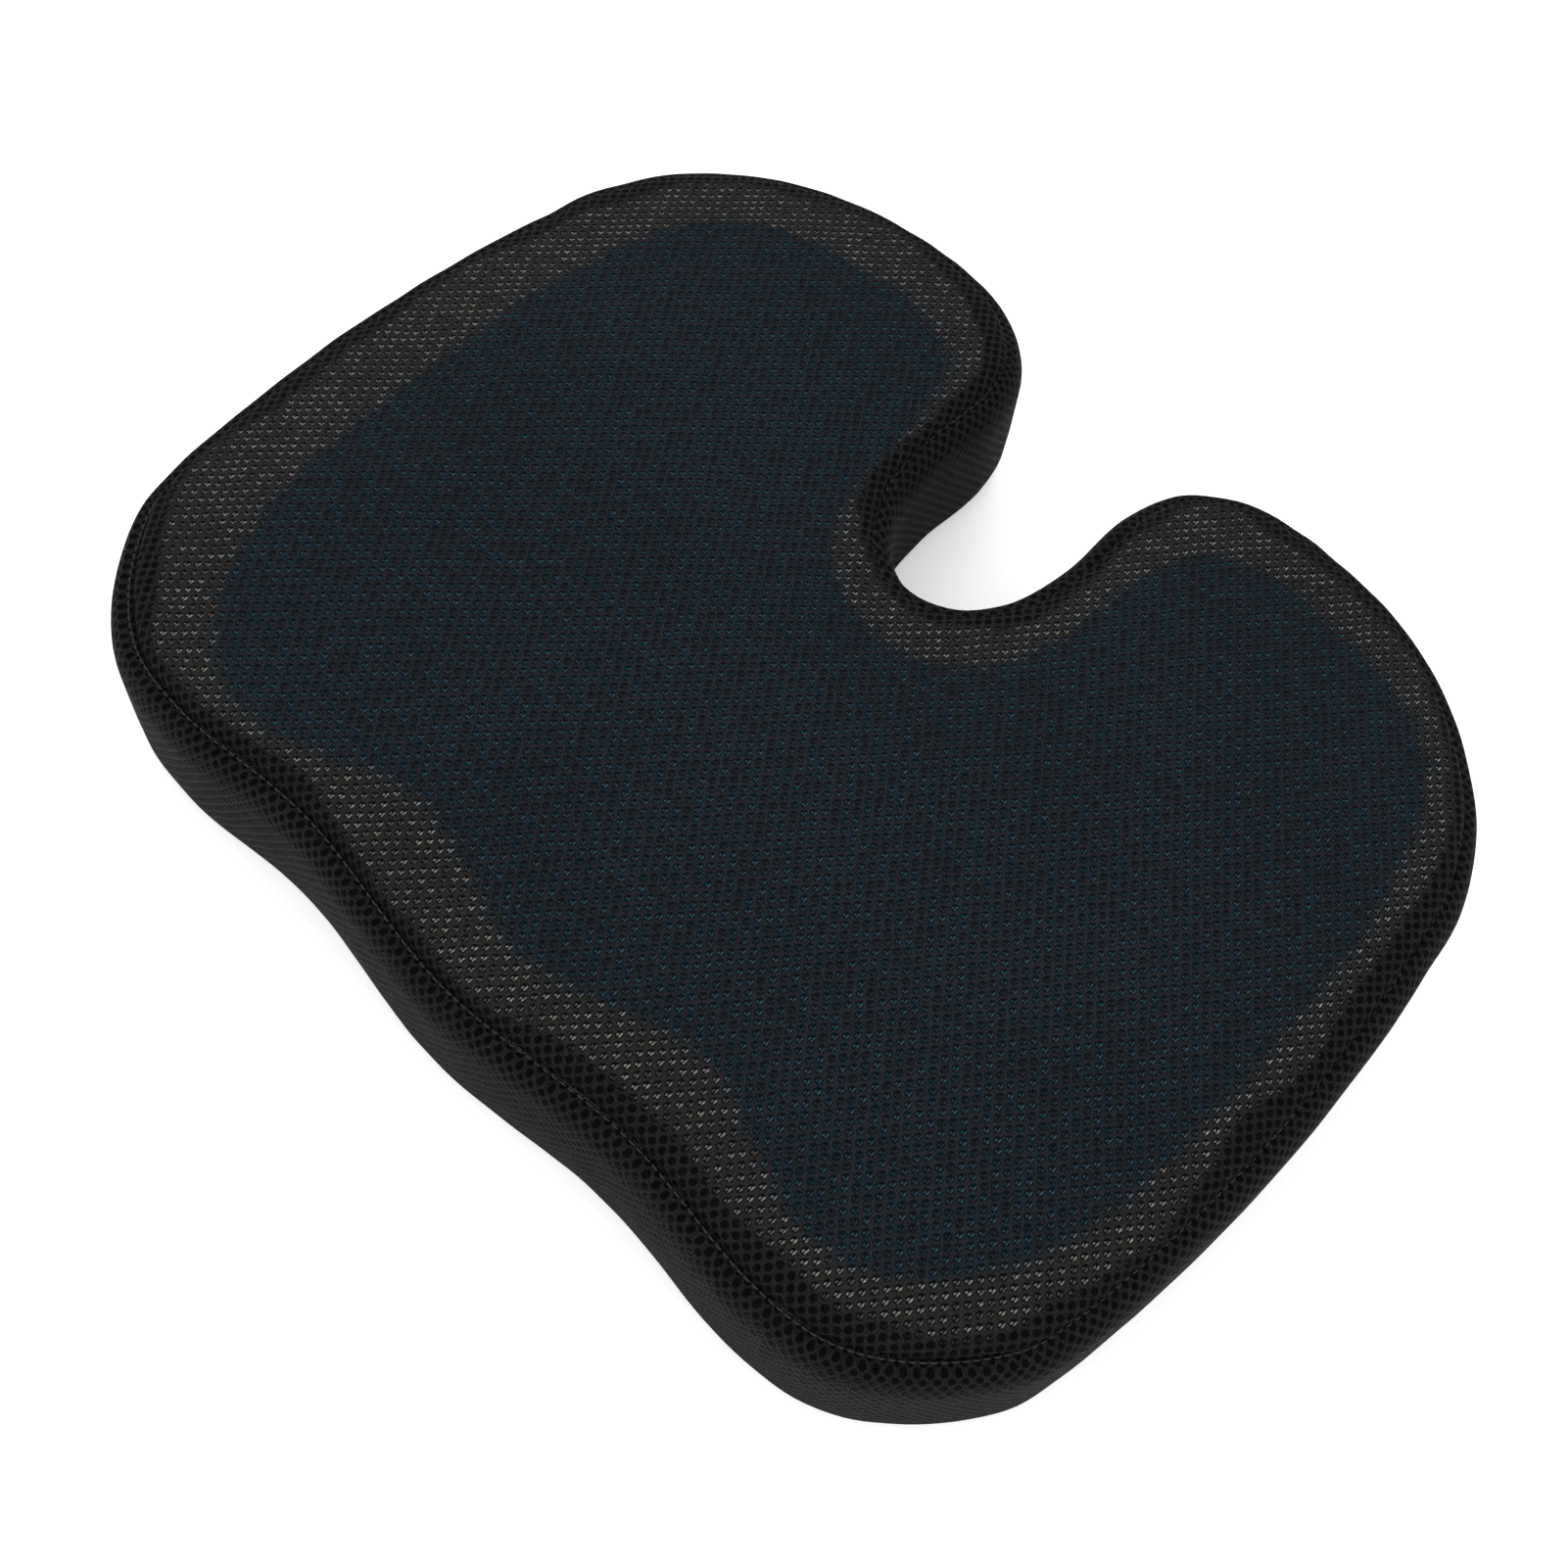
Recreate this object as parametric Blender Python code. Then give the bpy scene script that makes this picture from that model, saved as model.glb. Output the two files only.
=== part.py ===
"""Coccyx seat cushion: foam core, honeycomb gel pad and a zipped spacer-mesh cover.

Metres, +Z up. The origin is on the floor under the middle of the cushion. +X is the sitter's
right, +Y is the back with its coccyx notch, -Y is the wavy front edge.
"""
import math

import bmesh
import bpy
from mathutils import Matrix, Vector

# ---- driving sizes ----
WIDTH = 0.448                # across the hips
DEPTH = 0.352                # front tongue to back lobes
HEIGHT = 0.0695
TOP_ROUND = 0.018            # rounding of the upper edge
BOTTOM_ROUND = 0.012         # rounding of the lower edge
NOTCH_WIDTH = 0.062          # coccyx notch between its straight walls
NOTCH_DEPTH = 0.124
NOTCH_FLOOR_ROUND = 0.047    # length of the notch's half-elliptic end
NOTCH_MOUTH = (0.052, 0.042)     # elliptic rounding of the notch's mouth, x and y
SIDE_RADIUS = 0.560          # each side wall is an arc of this radius
SIDE_MIDDLE_Y = -0.017
ARC_SPARE = 0.5              # degrees that the arc runs on past the zip's tapes
SCALLOP = 0.0075             # how far the thigh scallops step back from the front tongue
SCALLOP_AT = (0.168, 0.301)  # scallop's deepest place and its outer end, as shares of the width
SCALLOP_END = 0.4            # share of the scallop left at its outer end
FRONT_CORNER = ((0.059, 0.0075), (0.034, 0.0235))    # in from the side and back from the front
BAND_JOIN = (0.0125, 0.051)  # the front band's joins, in from the side and back from the front
SHOULDER_AT = (0.126, 0.135)     # middle of each rear shoulder, in from the side and the back
SHOULDER = (0.128, 0.135)        # its two half axes

COVER = 0.0030               # spacer-mesh thickness
GRIP = 0.0020                # non-slip fabric thickness under the cushion
GAP = 0.0003                 # between pieces that touch
SEAM_GAP = 0.0006            # between the sewn edges of two panels
SEAM_SINK = 0.0016           # how deep the seam's crease is
TOP_SEAM = 50.0              # where the seams run on the two roundings, degrees from the wall
BOTTOM_SEAM = 50.0
SEAM_CREASE = 0.0018         # half width of the crease along the profile
THREAD = 0.0009              # seam thread diameter

GEL = 0.0030                 # gel pad thickness
GEL_SIDE_MARGIN = 0.034      # foam left showing beside, behind and in front of the gel
GEL_BACK_MARGIN = 0.034
GEL_FRONT_MARGIN = 0.031
GEL_NOTCH_MARGIN = 0.026
GEL_NOTCH_FLOOR_MARGIN = 0.029
GEL_SCALLOP = 0.015
GEL_SCALLOP_AT = (0.141, 0.286)
GEL_LOBE = 0.004             # how far the pad's front corners reach past its middle
GEL_NOTCH_FLOOR = 0.052      # length of the pad's half-elliptic notch end
GEL_SIDE = ((0.029, 0.013), (0.010, 0.045), (0.001, 0.090), (0.0, 0.145))    # from its front
GEL_BACK = ((0.003, 0.082), (0.018, 0.030), (0.041, 0.010))                  # from its back
GEL_MOUTH = ((0.040, 0.0), (0.014, 0.009), (0.003, 0.034))    # beside the notch, from its back
GEL_EDGE = 0.0008            # soft edge of the pad
GEL_CLEARANCE = 0.0005       # all round the gel in its recess
GEL_SHIFT = 0.008            # the pad sits a little off centre and turned
GEL_TURN = 1.7

ZIP_HEIGHT = 0.027           # zip's centre line above the floor
ZIP_START = 10.0             # closed end and open end, degrees along the side arc
ZIP_END = -7.5
WINDOW = 0.0104              # slot in the band that shows the zip
TAPE = 0.0008
TAPE_WIDTH = 0.0110
TAPE_SPLIT = 0.0006
TAPE_OVERRUN = 1.0           # degrees that the tapes run on behind the band
CHANNEL_SPARE = 0.1          # degrees that the foam's channel runs past the tapes
COIL = (0.0024, 0.0020)      # one coil row: height and thickness
COIL_SPLIT = 0.0004
STOP_LENGTH = 0.0028
STOP_HEIGHT = 0.0034
SLIDER = (0.0112, 0.0088)    # length along the zip and height
SLIDER_PLATE = 0.0016
RUN = 0.0004                 # running clearance between slider and coils
BRIDGE = (0.0078, 0.0020, 0.0011)    # slider's bridge: length, width, bar thickness
PULL_BAR = 0.0012            # pull tab thickness, and its crossbar under the bridge
PULL = (0.0230, 0.0070)      # pull tab length and width
PULL_ARM = 0.0013
PULL_EYE = 0.0046            # inside length of the loop round the bridge
PULL_NECK = 0.003            # length over which the tab widens
PULL_CORNER = 0.002

TURN_STEP = 13.0             # degrees of turn in the outline for each facet
FACET = 0.021                # longest facet along the outline
CUT_PAST = 0.002             # how far cutters run past what they cut
ARC_FACET = 1.25             # degrees of each facet of a part bent along the side wall
SHARP = 40                   # edges sharper than this many degrees are not smoothed


def clear_scene():
    for thing in list(bpy.data.objects):
        bpy.data.objects.remove(thing)


def make_material(name, colour, roughness, metallic=0.0):
    material = bpy.data.materials.new(name)
    material.use_nodes = True
    shader = material.node_tree.nodes["Principled BSDF"]
    shader.inputs["Base Color"].default_value = (*colour, 1.0)
    shader.inputs["Roughness"].default_value = roughness
    shader.inputs["Metallic"].default_value = metallic
    material.diffuse_color = (*colour, 1.0)
    return material


def add_object(name, bm, material):
    bmesh.ops.recalc_face_normals(bm, faces=bm.faces)
    mesh = bpy.data.meshes.new(name)
    bm.to_mesh(mesh)
    bm.free()
    mesh.shade_smooth()
    mesh.set_sharp_from_angle(angle=math.radians(SHARP))
    thing = bpy.data.objects.new(name, mesh)
    bpy.context.collection.objects.link(thing)
    thing.data.materials.append(material)
    return thing


# ---- outlines ----
def side_point(degrees):
    """A point of the right side wall."""
    angle = math.radians(degrees)
    centre = Vector((WIDTH / 2 - SIDE_RADIUS, SIDE_MIDDLE_Y))
    return centre + SIDE_RADIUS * Vector((math.cos(angle), math.sin(angle)))


def ellipse_points(centre, semi_x, semi_y, angles):
    return [Vector((centre[0] + semi_x * math.cos(math.radians(a)),
                    centre[1] + semi_y * math.sin(math.radians(a)))) for a in angles]


def cushion_half():
    """Right half of the plan outline, from the front tongue round to the notch's end."""
    half, back, front = WIDTH / 2, DEPTH / 2, -DEPTH / 2
    notch = NOTCH_WIDTH / 2
    end = back - NOTCH_DEPTH
    points = [Vector((0.0, front)),
              Vector((SCALLOP_AT[0] * WIDTH, front + SCALLOP)),
              Vector((SCALLOP_AT[1] * WIDTH, front + SCALLOP_END * SCALLOP))]
    points += [Vector((half - x, front + y)) for x, y in (*FRONT_CORNER, BAND_JOIN)]
    low = ZIP_END - TAPE_OVERRUN - ARC_SPARE
    high = ZIP_START + TAPE_OVERRUN + ARC_SPARE
    points += [side_point(low + k * (high - low) / 8) for k in range(9)]
    points += ellipse_points((half - SHOULDER_AT[0], back - SHOULDER_AT[1]), *SHOULDER,
                             (38, 50, 63, 76, 90))
    mouth = (notch + NOTCH_MOUTH[0], back - NOTCH_MOUTH[1])
    points += ellipse_points(mouth, *NOTCH_MOUTH, (92, 120, 150, 180))
    points += ellipse_points((0.0, end + NOTCH_FLOOR_ROUND), notch, NOTCH_FLOOR_ROUND,
                             (0, -30, -60, -90))
    return points


def gel_half():
    """Right half of the gel pad's outline, tied to the cushion's by the foam margins."""
    half = WIDTH / 2 - GEL_SIDE_MARGIN
    back = DEPTH / 2 - GEL_BACK_MARGIN
    front = -DEPTH / 2 + GEL_FRONT_MARGIN
    notch = NOTCH_WIDTH / 2 + GEL_NOTCH_MARGIN
    end = DEPTH / 2 - NOTCH_DEPTH - GEL_NOTCH_FLOOR_MARGIN
    points = [Vector((0.0, front)),
              Vector((GEL_SCALLOP_AT[0] * WIDTH, front + GEL_SCALLOP)),
              Vector((GEL_SCALLOP_AT[1] * WIDTH, front - GEL_LOBE))]
    points += [Vector((half - x, front + y)) for x, y in GEL_SIDE]
    points += [Vector((half - x, back - y)) for x, y in GEL_BACK]
    points += [Vector((notch + x, back - y)) for x, y in GEL_MOUTH]
    points += ellipse_points((0.0, end + GEL_NOTCH_FLOOR), notch, GEL_NOTCH_FLOOR,
                             (0, -32, -62, -90))
    return points


def mirrored(points):
    """Closed run of points, the right half followed by its mirror image."""
    left = [Vector((-p.x, p.y)) for p in reversed(points[1:-1])]
    return points + left


def smooth_loop(points):
    """Closed curve through the points, with more facets where it turns more."""
    loop = []
    count = len(points)
    for i in range(count):
        a, b, c, d = (points[(i + k) % count] for k in (-1, 0, 1, 2))
        span_b = math.sqrt((c - b).length)
        span_a = math.sqrt((b - a).length)
        span_c = math.sqrt((d - c).length)
        leave = (b - a) / span_a - (c - a) / (span_a + span_b) + (c - b) / span_b
        reach = (c - b) / span_b - (d - b) / (span_b + span_c) + (d - c) / span_c
        turn = math.degrees(leave.angle(reach)) + math.degrees(leave.angle(c - b))
        steps = max(1, math.ceil(turn / TURN_STEP), math.ceil((c - b).length / FACET))
        for k in range(steps):
            t = k / steps
            loop.append((2 * t**3 - 3 * t**2 + 1) * b + (t**3 - 2 * t**2 + t) * span_b * leave
                        + (3 * t**2 - 2 * t**3) * c + (t**3 - t**2) * span_b * reach)
    return loop


def outward(loop):
    """Unit normals of a counter-clockwise loop."""
    count = len(loop)
    normals = []
    for i in range(count):
        along = (loop[(i + 1) % count] - loop[i - 1]).normalized()
        normals.append(Vector((along.y, -along.x)))
    return normals


class Outline:
    """A closed plan curve that can be stepped inwards."""

    def __init__(self, half):
        self.points = smooth_loop(mirrored(half))
        self.normals = outward(self.points)

    def ring(self, inset, z, place=None):
        ring = [Vector((*(p - n * inset), z)) for p, n in zip(self.points, self.normals)]
        return [place @ p for p in ring] if place else ring


# ---- the wall's profile ----
def top_arc(degrees, depth):
    """Inset and height on the upper rounding, a depth below the outer surface."""
    angle = math.radians(degrees)
    radius = TOP_ROUND - depth
    return TOP_ROUND - radius * math.cos(angle), HEIGHT - TOP_ROUND + radius * math.sin(angle)


def bottom_arc(degrees, depth):
    angle = math.radians(degrees)
    radius = BOTTOM_ROUND - depth
    return BOTTOM_ROUND - radius * math.cos(angle), BOTTOM_ROUND - radius * math.sin(angle)


def seam_edge(arc, round_size, seam, side, inner):
    """Outer, crease and inner point of a panel's edge; side is +1 beyond the seam, -1 before."""
    lip = math.degrees(SEAM_GAP / 2 / (round_size - inner))
    crease = math.degrees(SEAM_CREASE / round_size)
    return [arc(seam + side * crease, 0.0), arc(seam + side * lip, SEAM_SINK),
            arc(seam + side * lip, inner)]


# ---- solids ----
def join_rings(bm, a, b):
    for k in range(len(a)):
        bm.faces.new((a[k - 1], a[k], b[k], b[k - 1]))


def loft(rings, closed_ends=True):
    """Closed solid through rings of equal count."""
    bm = bmesh.new()
    loops = [[bm.verts.new(p) for p in ring] for ring in rings]
    for a, b in zip(loops, loops[1:]):
        join_rings(bm, a, b)
    if closed_ends:
        bm.faces.new(loops[0])
        bm.faces.new(loops[-1])
    else:
        join_rings(bm, loops[-1], loops[0])
    return bm


def strip(outline, section, first, last):
    """Band solid: a closed section carried along the outline from one point to another."""
    count = len(outline.points)
    indices = [i % count for i in range(first, last + 1)]
    bm = bmesh.new()
    frames = []
    for place, i in enumerate(indices):
        along = Vector((-outline.normals[i].y, outline.normals[i].x))
        shift = SEAM_GAP / 2 if place == 0 else -SEAM_GAP / 2 if place == len(indices) - 1 else 0.0
        base = outline.points[i] + along * shift
        frames.append([bm.verts.new((*(base - outline.normals[i] * inset), z))
                       for inset, z in section])
    for a, b in zip(frames, frames[1:]):
        join_rings(bm, a, b)
    bm.faces.new(frames[0])
    bm.faces.new(frames[-1])
    return bm


def tube_ring(outline, centre, diameter, sides=6):
    """Thin closed thread that follows the outline."""
    rings = []
    for k in range(sides):
        angle = 2 * math.pi * k / sides
        rings.append(outline.ring(centre[0] + diameter / 2 * math.cos(angle),
                                  centre[1] + diameter / 2 * math.sin(angle)))
    return loft(rings, closed_ends=False)


def cut(target, cutter):
    """Take the cutter's shape out of the target."""
    cutter.hide_render = True
    cutter.display_type = "WIRE"
    modifier = target.modifiers.new("cut_" + cutter.name, "BOOLEAN")
    modifier.operation = "DIFFERENCE"
    modifier.object = cutter


def arc_bar(depth_out, depth_in, low, high, start, end):
    """Bar that follows the left side wall, between two depths below its outer surface."""
    centre = Vector((SIDE_RADIUS - WIDTH / 2, SIDE_MIDDLE_Y, 0.0))
    angle = math.radians(start)
    away = Vector((-math.cos(angle), math.sin(angle), 0.0))
    bm = bmesh.new()
    corners = [(depth_out, low), (depth_in, low), (depth_in, high), (depth_out, high)]
    verts = [bm.verts.new(centre + away * (SIDE_RADIUS - d) + Vector((0, 0, z)))
             for d, z in corners]
    face = bm.faces.new(verts)
    steps = max(2, math.ceil(abs(start - end) / ARC_FACET))
    bmesh.ops.spin(bm, geom=[face, *face.edges, *face.verts], cent=centre, axis=(0, 0, 1),
                   angle=math.radians(start - end), steps=steps)
    return bm


def zip_matrix(degrees):
    """Local x along the zip towards its open end, y up, z out of the wall."""
    centre = Vector((SIDE_RADIUS - WIDTH / 2, SIDE_MIDDLE_Y, ZIP_HEIGHT))
    angle = math.radians(degrees)
    out = Vector((-math.cos(angle), math.sin(angle), 0.0))
    up = Vector((0.0, 0.0, 1.0))
    along = up.cross(out)
    origin = centre + out * SIDE_RADIUS
    matrix = Matrix((along, up, out)).transposed().to_4x4()
    matrix.translation = origin
    return matrix


def prism(points, low, high, axis):
    """Extruded polygon; axis is the index of the direction it is extruded along."""
    bm = bmesh.new()
    verts = []
    for a, b in points:
        place = [a, b]
        place.insert(axis, low)
        verts.append(bm.verts.new(place))
    face = bm.faces.new(verts)
    grown = bmesh.ops.extrude_face_region(bm, geom=[face])
    offset = Vector((0, 0, 0))
    offset[axis] = high - low
    moved = [g for g in grown["geom"] if isinstance(g, bmesh.types.BMVert)]
    bmesh.ops.translate(bm, verts=moved, vec=offset)
    return bm


# ---- the soft pieces ----
def build_foam(cushion, gel, place, foam):
    skin = COVER + GAP
    base = GRIP + GAP
    rings = [cushion.ring(BOTTOM_ROUND, base)]
    for degrees in (62, 35, 0):
        inset, z = bottom_arc(degrees, skin)
        rings.append(cushion.ring(inset, max(z, base)))
    rings += [cushion.ring(*top_arc(a, skin)) for a in (0, 25, 50, 72, 90)]
    core = add_object("foam_core", loft(rings), foam)
    floor = HEIGHT - skin - GEL - GAP
    recess = loft([gel.ring(-GEL_CLEARANCE, floor, place),
                   gel.ring(-GEL_CLEARANCE, HEIGHT, place)])
    cut(core, add_object("gel_recess", recess, foam))
    behind = COVER + GAP + TAPE + GAP
    half = TAPE_WIDTH + TAPE_SPLIT
    reach = TAPE_OVERRUN + CHANNEL_SPARE
    channel = arc_bar(0.0, behind, ZIP_HEIGHT - half, ZIP_HEIGHT + half,
                      ZIP_START + reach, ZIP_END - reach)
    cut(core, add_object("zip_channel", channel, foam))


def build_gel(gel, place, material):
    top = HEIGHT - COVER - GAP
    rings = [gel.ring(GEL_EDGE, top - GEL, place), gel.ring(0.0, top - GEL + GEL_EDGE, place),
             gel.ring(0.0, top - GEL_EDGE, place), gel.ring(GEL_EDGE, top, place)]
    add_object("gel_pad", loft(rings), material)


def build_top_panel(cushion, mesh):
    edge = seam_edge(top_arc, TOP_ROUND, TOP_SEAM, 1, COVER)
    outer = [top_arc(90, 0.0), top_arc(72, 0.0)]
    inner = [top_arc(72, COVER), top_arc(90, COVER)]
    rings = [cushion.ring(*p) for p in outer + edge + inner]
    add_object("cover_top_panel", loft(rings), mesh)


def band_section():
    upper = seam_edge(top_arc, TOP_ROUND, TOP_SEAM, -1, COVER)
    lower = seam_edge(bottom_arc, BOTTOM_ROUND, BOTTOM_SEAM, -1, COVER)
    outer = [top_arc(a, 0.0) for a in (22, 0)] + [bottom_arc(a, 0.0) for a in (0, 22)]
    inner = [bottom_arc(a, COVER) for a in (22, 0)] + [top_arc(a, COVER) for a in (0, 22)]
    return upper[1::-1] + outer + lower + inner + [upper[2]]


def nearest(points, target):
    return min(range(len(points)), key=lambda i: (points[i] - Vector(target)).length)


def build_bands(cushion, mesh):
    """Front band between the two front corners, and a band round each side into the notch."""
    count = len(cushion.points)
    join = nearest(cushion.points, (WIDTH / 2 - BAND_JOIN[0], -DEPTH / 2 + BAND_JOIN[1]))
    notch = nearest(cushion.points, (0.0, DEPTH / 2 - NOTCH_DEPTH))
    section = band_section()
    add_object("cover_front_band", strip(cushion, section, -join, join), mesh)
    add_object("cover_right_band", strip(cushion, section, join, notch), mesh)
    left = add_object("cover_left_band", strip(cushion, section, notch, count - join), mesh)
    slot = arc_bar(-CUT_PAST, COVER + CUT_PAST, ZIP_HEIGHT - WINDOW / 2, ZIP_HEIGHT + WINDOW / 2,
                   ZIP_START, ZIP_END)
    cut(left, add_object("zip_window", slot, mesh))


def build_bottom_panel(cushion, fabric):
    edge = seam_edge(bottom_arc, BOTTOM_ROUND, BOTTOM_SEAM, 1, GRIP)
    outer = [bottom_arc(90, 0.0), bottom_arc(72, 0.0)]
    inner = [bottom_arc(72, GRIP), bottom_arc(90, GRIP)]
    rings = [cushion.ring(*p) for p in outer + edge + inner]
    add_object("cover_bottom_panel", loft(rings), fabric)


def build_threads(cushion, thread):
    depth = 0.5 * SEAM_SINK
    add_object("top_seam_thread", tube_ring(cushion, top_arc(TOP_SEAM, depth), THREAD), thread)
    add_object("bottom_seam_thread",
               tube_ring(cushion, bottom_arc(BOTTOM_SEAM, depth), THREAD), thread)


# ---- the zip ----
def build_tapes(tape):
    front = COVER + GAP
    start = ZIP_START + TAPE_OVERRUN
    end = ZIP_END - TAPE_OVERRUN
    for name, side in (("zip_tape_upper", 1), ("zip_tape_lower", -1)):
        near = ZIP_HEIGHT + side * TAPE_SPLIT / 2
        far = near + side * TAPE_WIDTH
        add_object(name, arc_bar(front, front + TAPE, min(near, far), max(near, far), start, end),
                   tape)


def arc_length(length):
    """Degrees along the side arc for a length."""
    return math.degrees(length / SIDE_RADIUS)


def build_coils(nylon, metal):
    back = COVER
    face = back - COIL[1]
    stop = arc_length(STOP_LENGTH)
    room = arc_length(GAP)
    for word, side in (("upper", 1), ("lower", -1)):
        near = ZIP_HEIGHT + side * COIL_SPLIT / 2
        far = near + side * COIL[0]
        add_object("zip_coil_" + word,
                   arc_bar(face, back, min(near, far), max(near, far),
                           ZIP_START - 2 * room - stop, ZIP_END + 2 * room + stop), nylon)
        tall = near + side * STOP_HEIGHT
        add_object("zip_top_stop_" + word,
                   arc_bar(face - GAP, back, min(near, tall), max(near, tall),
                           ZIP_START - room, ZIP_START - room - stop), metal)
    add_object("zip_bottom_stop",
               arc_bar(face - GAP, back, ZIP_HEIGHT - STOP_HEIGHT, ZIP_HEIGHT + STOP_HEIGHT,
                       ZIP_END + room + stop, ZIP_END + room), metal)


def slider_rest():
    """Angle of the slider's middle when the zip is closed."""
    return ZIP_START - arc_length(GAP * 3 + STOP_LENGTH + SLIDER[0] / 2)


def slider_levels():
    """Heights above the wall's outer surface: plate underside, plate top, pull bar's middle."""
    under = -COVER + COIL[1] + RUN
    top = under + SLIDER_PLATE
    middle = top + PULL_BAR * 0.5 * math.sqrt(2) + GAP
    return under, top, middle


def build_slider(metal):
    under, top, middle = slider_levels()
    tip = -COVER + GAP
    half = SLIDER[1] / 2
    hold = COIL_SPLIT / 2 + COIL[0] + RUN
    shell = [(-half, tip), (-half, top), (half, top), (half, tip), (hold, tip), (hold, under),
             (-hold, under), (-hold, tip)]
    body = add_object("zip_slider", prism(shell, -SLIDER[0] / 2, SLIDER[0] / 2, 0), metal)
    body.matrix_world = zip_matrix(slider_rest())
    span = BRIDGE[0] / 2
    inside = span - BRIDGE[2]
    roof = middle + (middle - top)
    arch = [(-span, top - GAP), (-span, roof), (-inside, roof + BRIDGE[2]),
            (inside, roof + BRIDGE[2]), (span, roof), (span, top - GAP), (inside, top - GAP),
            (inside, roof), (-inside, roof), (-inside, top - GAP)]
    bridge = add_object("slider_bridge", prism(arch, -BRIDGE[1] / 2, BRIDGE[1] / 2, 1), metal)
    bridge.matrix_world = zip_matrix(slider_rest())
    bridge.hide_render = True
    bridge.display_type = "WIRE"
    joined = body.modifiers.new("bridge", "BOOLEAN")
    joined.operation = "UNION"
    joined.object = bridge


def build_pull(metal):
    middle = slider_levels()[2]
    low, high = middle - PULL_BAR / 2, middle + PULL_BAR / 2
    half = PULL[1] / 2
    eye = BRIDGE[1] / 2 + RUN
    arm = eye + PULL_ARM
    start = -PULL_BAR / 2
    neck, tip = PULL_EYE + PULL_NECK, PULL[0] - PULL_CORNER
    shape = [(start, -arm), (PULL_EYE, -arm), (neck, -half), (tip, -half),
             (PULL[0], -half + PULL_CORNER), (PULL[0], half - PULL_CORNER), (tip, half),
             (neck, half), (PULL_EYE, arm), (start, arm)]
    tab = add_object("zip_pull_tab", prism(shape, low, high, 2), metal)
    tab.matrix_world = zip_matrix(slider_rest())
    hole = [(PULL_BAR / 2, -eye), (PULL_EYE, -eye), (PULL_EYE, eye), (PULL_BAR / 2, eye)]
    window = add_object("pull_eye", prism(hole, low - CUT_PAST, high + CUT_PAST, 2), metal)
    window.matrix_world = zip_matrix(slider_rest())
    cut(tab, window)


def build():
    clear_scene()
    foam = make_material("beige_memory_foam", (0.62, 0.56, 0.45), 0.9)
    gel_blue = make_material("blue_gel", (0.02, 0.13, 0.22), 0.35)
    mesh = make_material("black_spacer_mesh", (0.012, 0.012, 0.013), 0.8)
    grip = make_material("black_grip_fabric", (0.015, 0.015, 0.016), 0.85)
    thread = make_material("black_thread", (0.01, 0.01, 0.01), 0.6)
    tape = make_material("black_zip_tape", (0.014, 0.014, 0.015), 0.75)
    nylon = make_material("black_nylon_coil", (0.012, 0.012, 0.012), 0.4)
    metal = make_material("black_enamelled_zinc", (0.02, 0.02, 0.02), 0.35, 0.6)

    cushion = Outline(cushion_half())
    gel = Outline(gel_half())
    place = Matrix.Translation((GEL_SHIFT, 0, 0)) @ Matrix.Rotation(math.radians(GEL_TURN), 4, "Z")
    build_foam(cushion, gel, place, foam)
    build_gel(gel, place, gel_blue)
    build_top_panel(cushion, mesh)
    build_bands(cushion, mesh)
    build_bottom_panel(cushion, grip)
    build_threads(cushion, thread)
    build_tapes(tape)
    build_coils(nylon, metal)
    build_slider(metal)
    build_pull(metal)


build()
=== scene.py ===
import math

import bmesh
import bpy
from mathutils import Matrix, Vector, kdtree, noise


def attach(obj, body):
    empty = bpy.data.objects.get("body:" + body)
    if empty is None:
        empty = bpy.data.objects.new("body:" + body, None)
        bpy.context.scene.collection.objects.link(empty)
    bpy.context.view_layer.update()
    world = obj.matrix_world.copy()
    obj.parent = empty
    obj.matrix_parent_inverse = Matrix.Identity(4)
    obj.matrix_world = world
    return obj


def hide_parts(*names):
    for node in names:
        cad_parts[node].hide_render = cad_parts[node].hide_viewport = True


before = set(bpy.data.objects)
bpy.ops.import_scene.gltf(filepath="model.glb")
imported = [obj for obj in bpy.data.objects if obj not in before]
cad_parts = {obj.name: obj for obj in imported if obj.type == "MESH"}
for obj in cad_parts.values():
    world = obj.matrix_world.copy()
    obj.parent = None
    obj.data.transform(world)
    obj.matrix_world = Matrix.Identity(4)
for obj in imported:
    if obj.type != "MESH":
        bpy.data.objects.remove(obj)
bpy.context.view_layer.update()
print("frame loaded")

# Metres. Floor at z 0, +X to the sitter's right, +Y to the back with its coccyx notch.
cushion = {
    "width": 0.448, "depth": 0.352, "height": 0.0695,
    "topRound": 0.018, "bottomRound": 0.012,
    "notchWidth": 0.062, "notchDepth": 0.124, "notchEnd": 0.047, "notchMouth": (0.052, 0.042),
    "sideRadius": 0.560, "sideMiddleY": -0.017,
    "sideArc": (-9.0, 11.5),                   # degrees of each side wall's arc
    "scallop": 0.0075, "scallopEnd": 0.4,      # its depth, and the share left at its outer end
    "scallopAt": (0.168, 0.301),               # its deepest place and its end, in widths
    "frontCorner": ((0.059, 0.0075), (0.034, 0.0235)),     # in from the side, back from the front
    "joinIn": 0.0125, "joinBack": 0.051,       # where the front band meets the side bands
    "shoulderAt": (0.126, 0.135), "shoulder": (0.128, 0.135),
    "seam": 50.0,                              # degrees up both roundings
    "spacing": 0.0036,                         # of the points along the outline
}


def hexColour(code):
    channels = [int(code[k:k + 2], 16) / 255 for k in (0, 2, 4)]
    return (*[c / 12.92 if c <= 0.04045 else ((c + 0.055) / 1.055) ** 2.4 for c in channels], 1.0)


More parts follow.
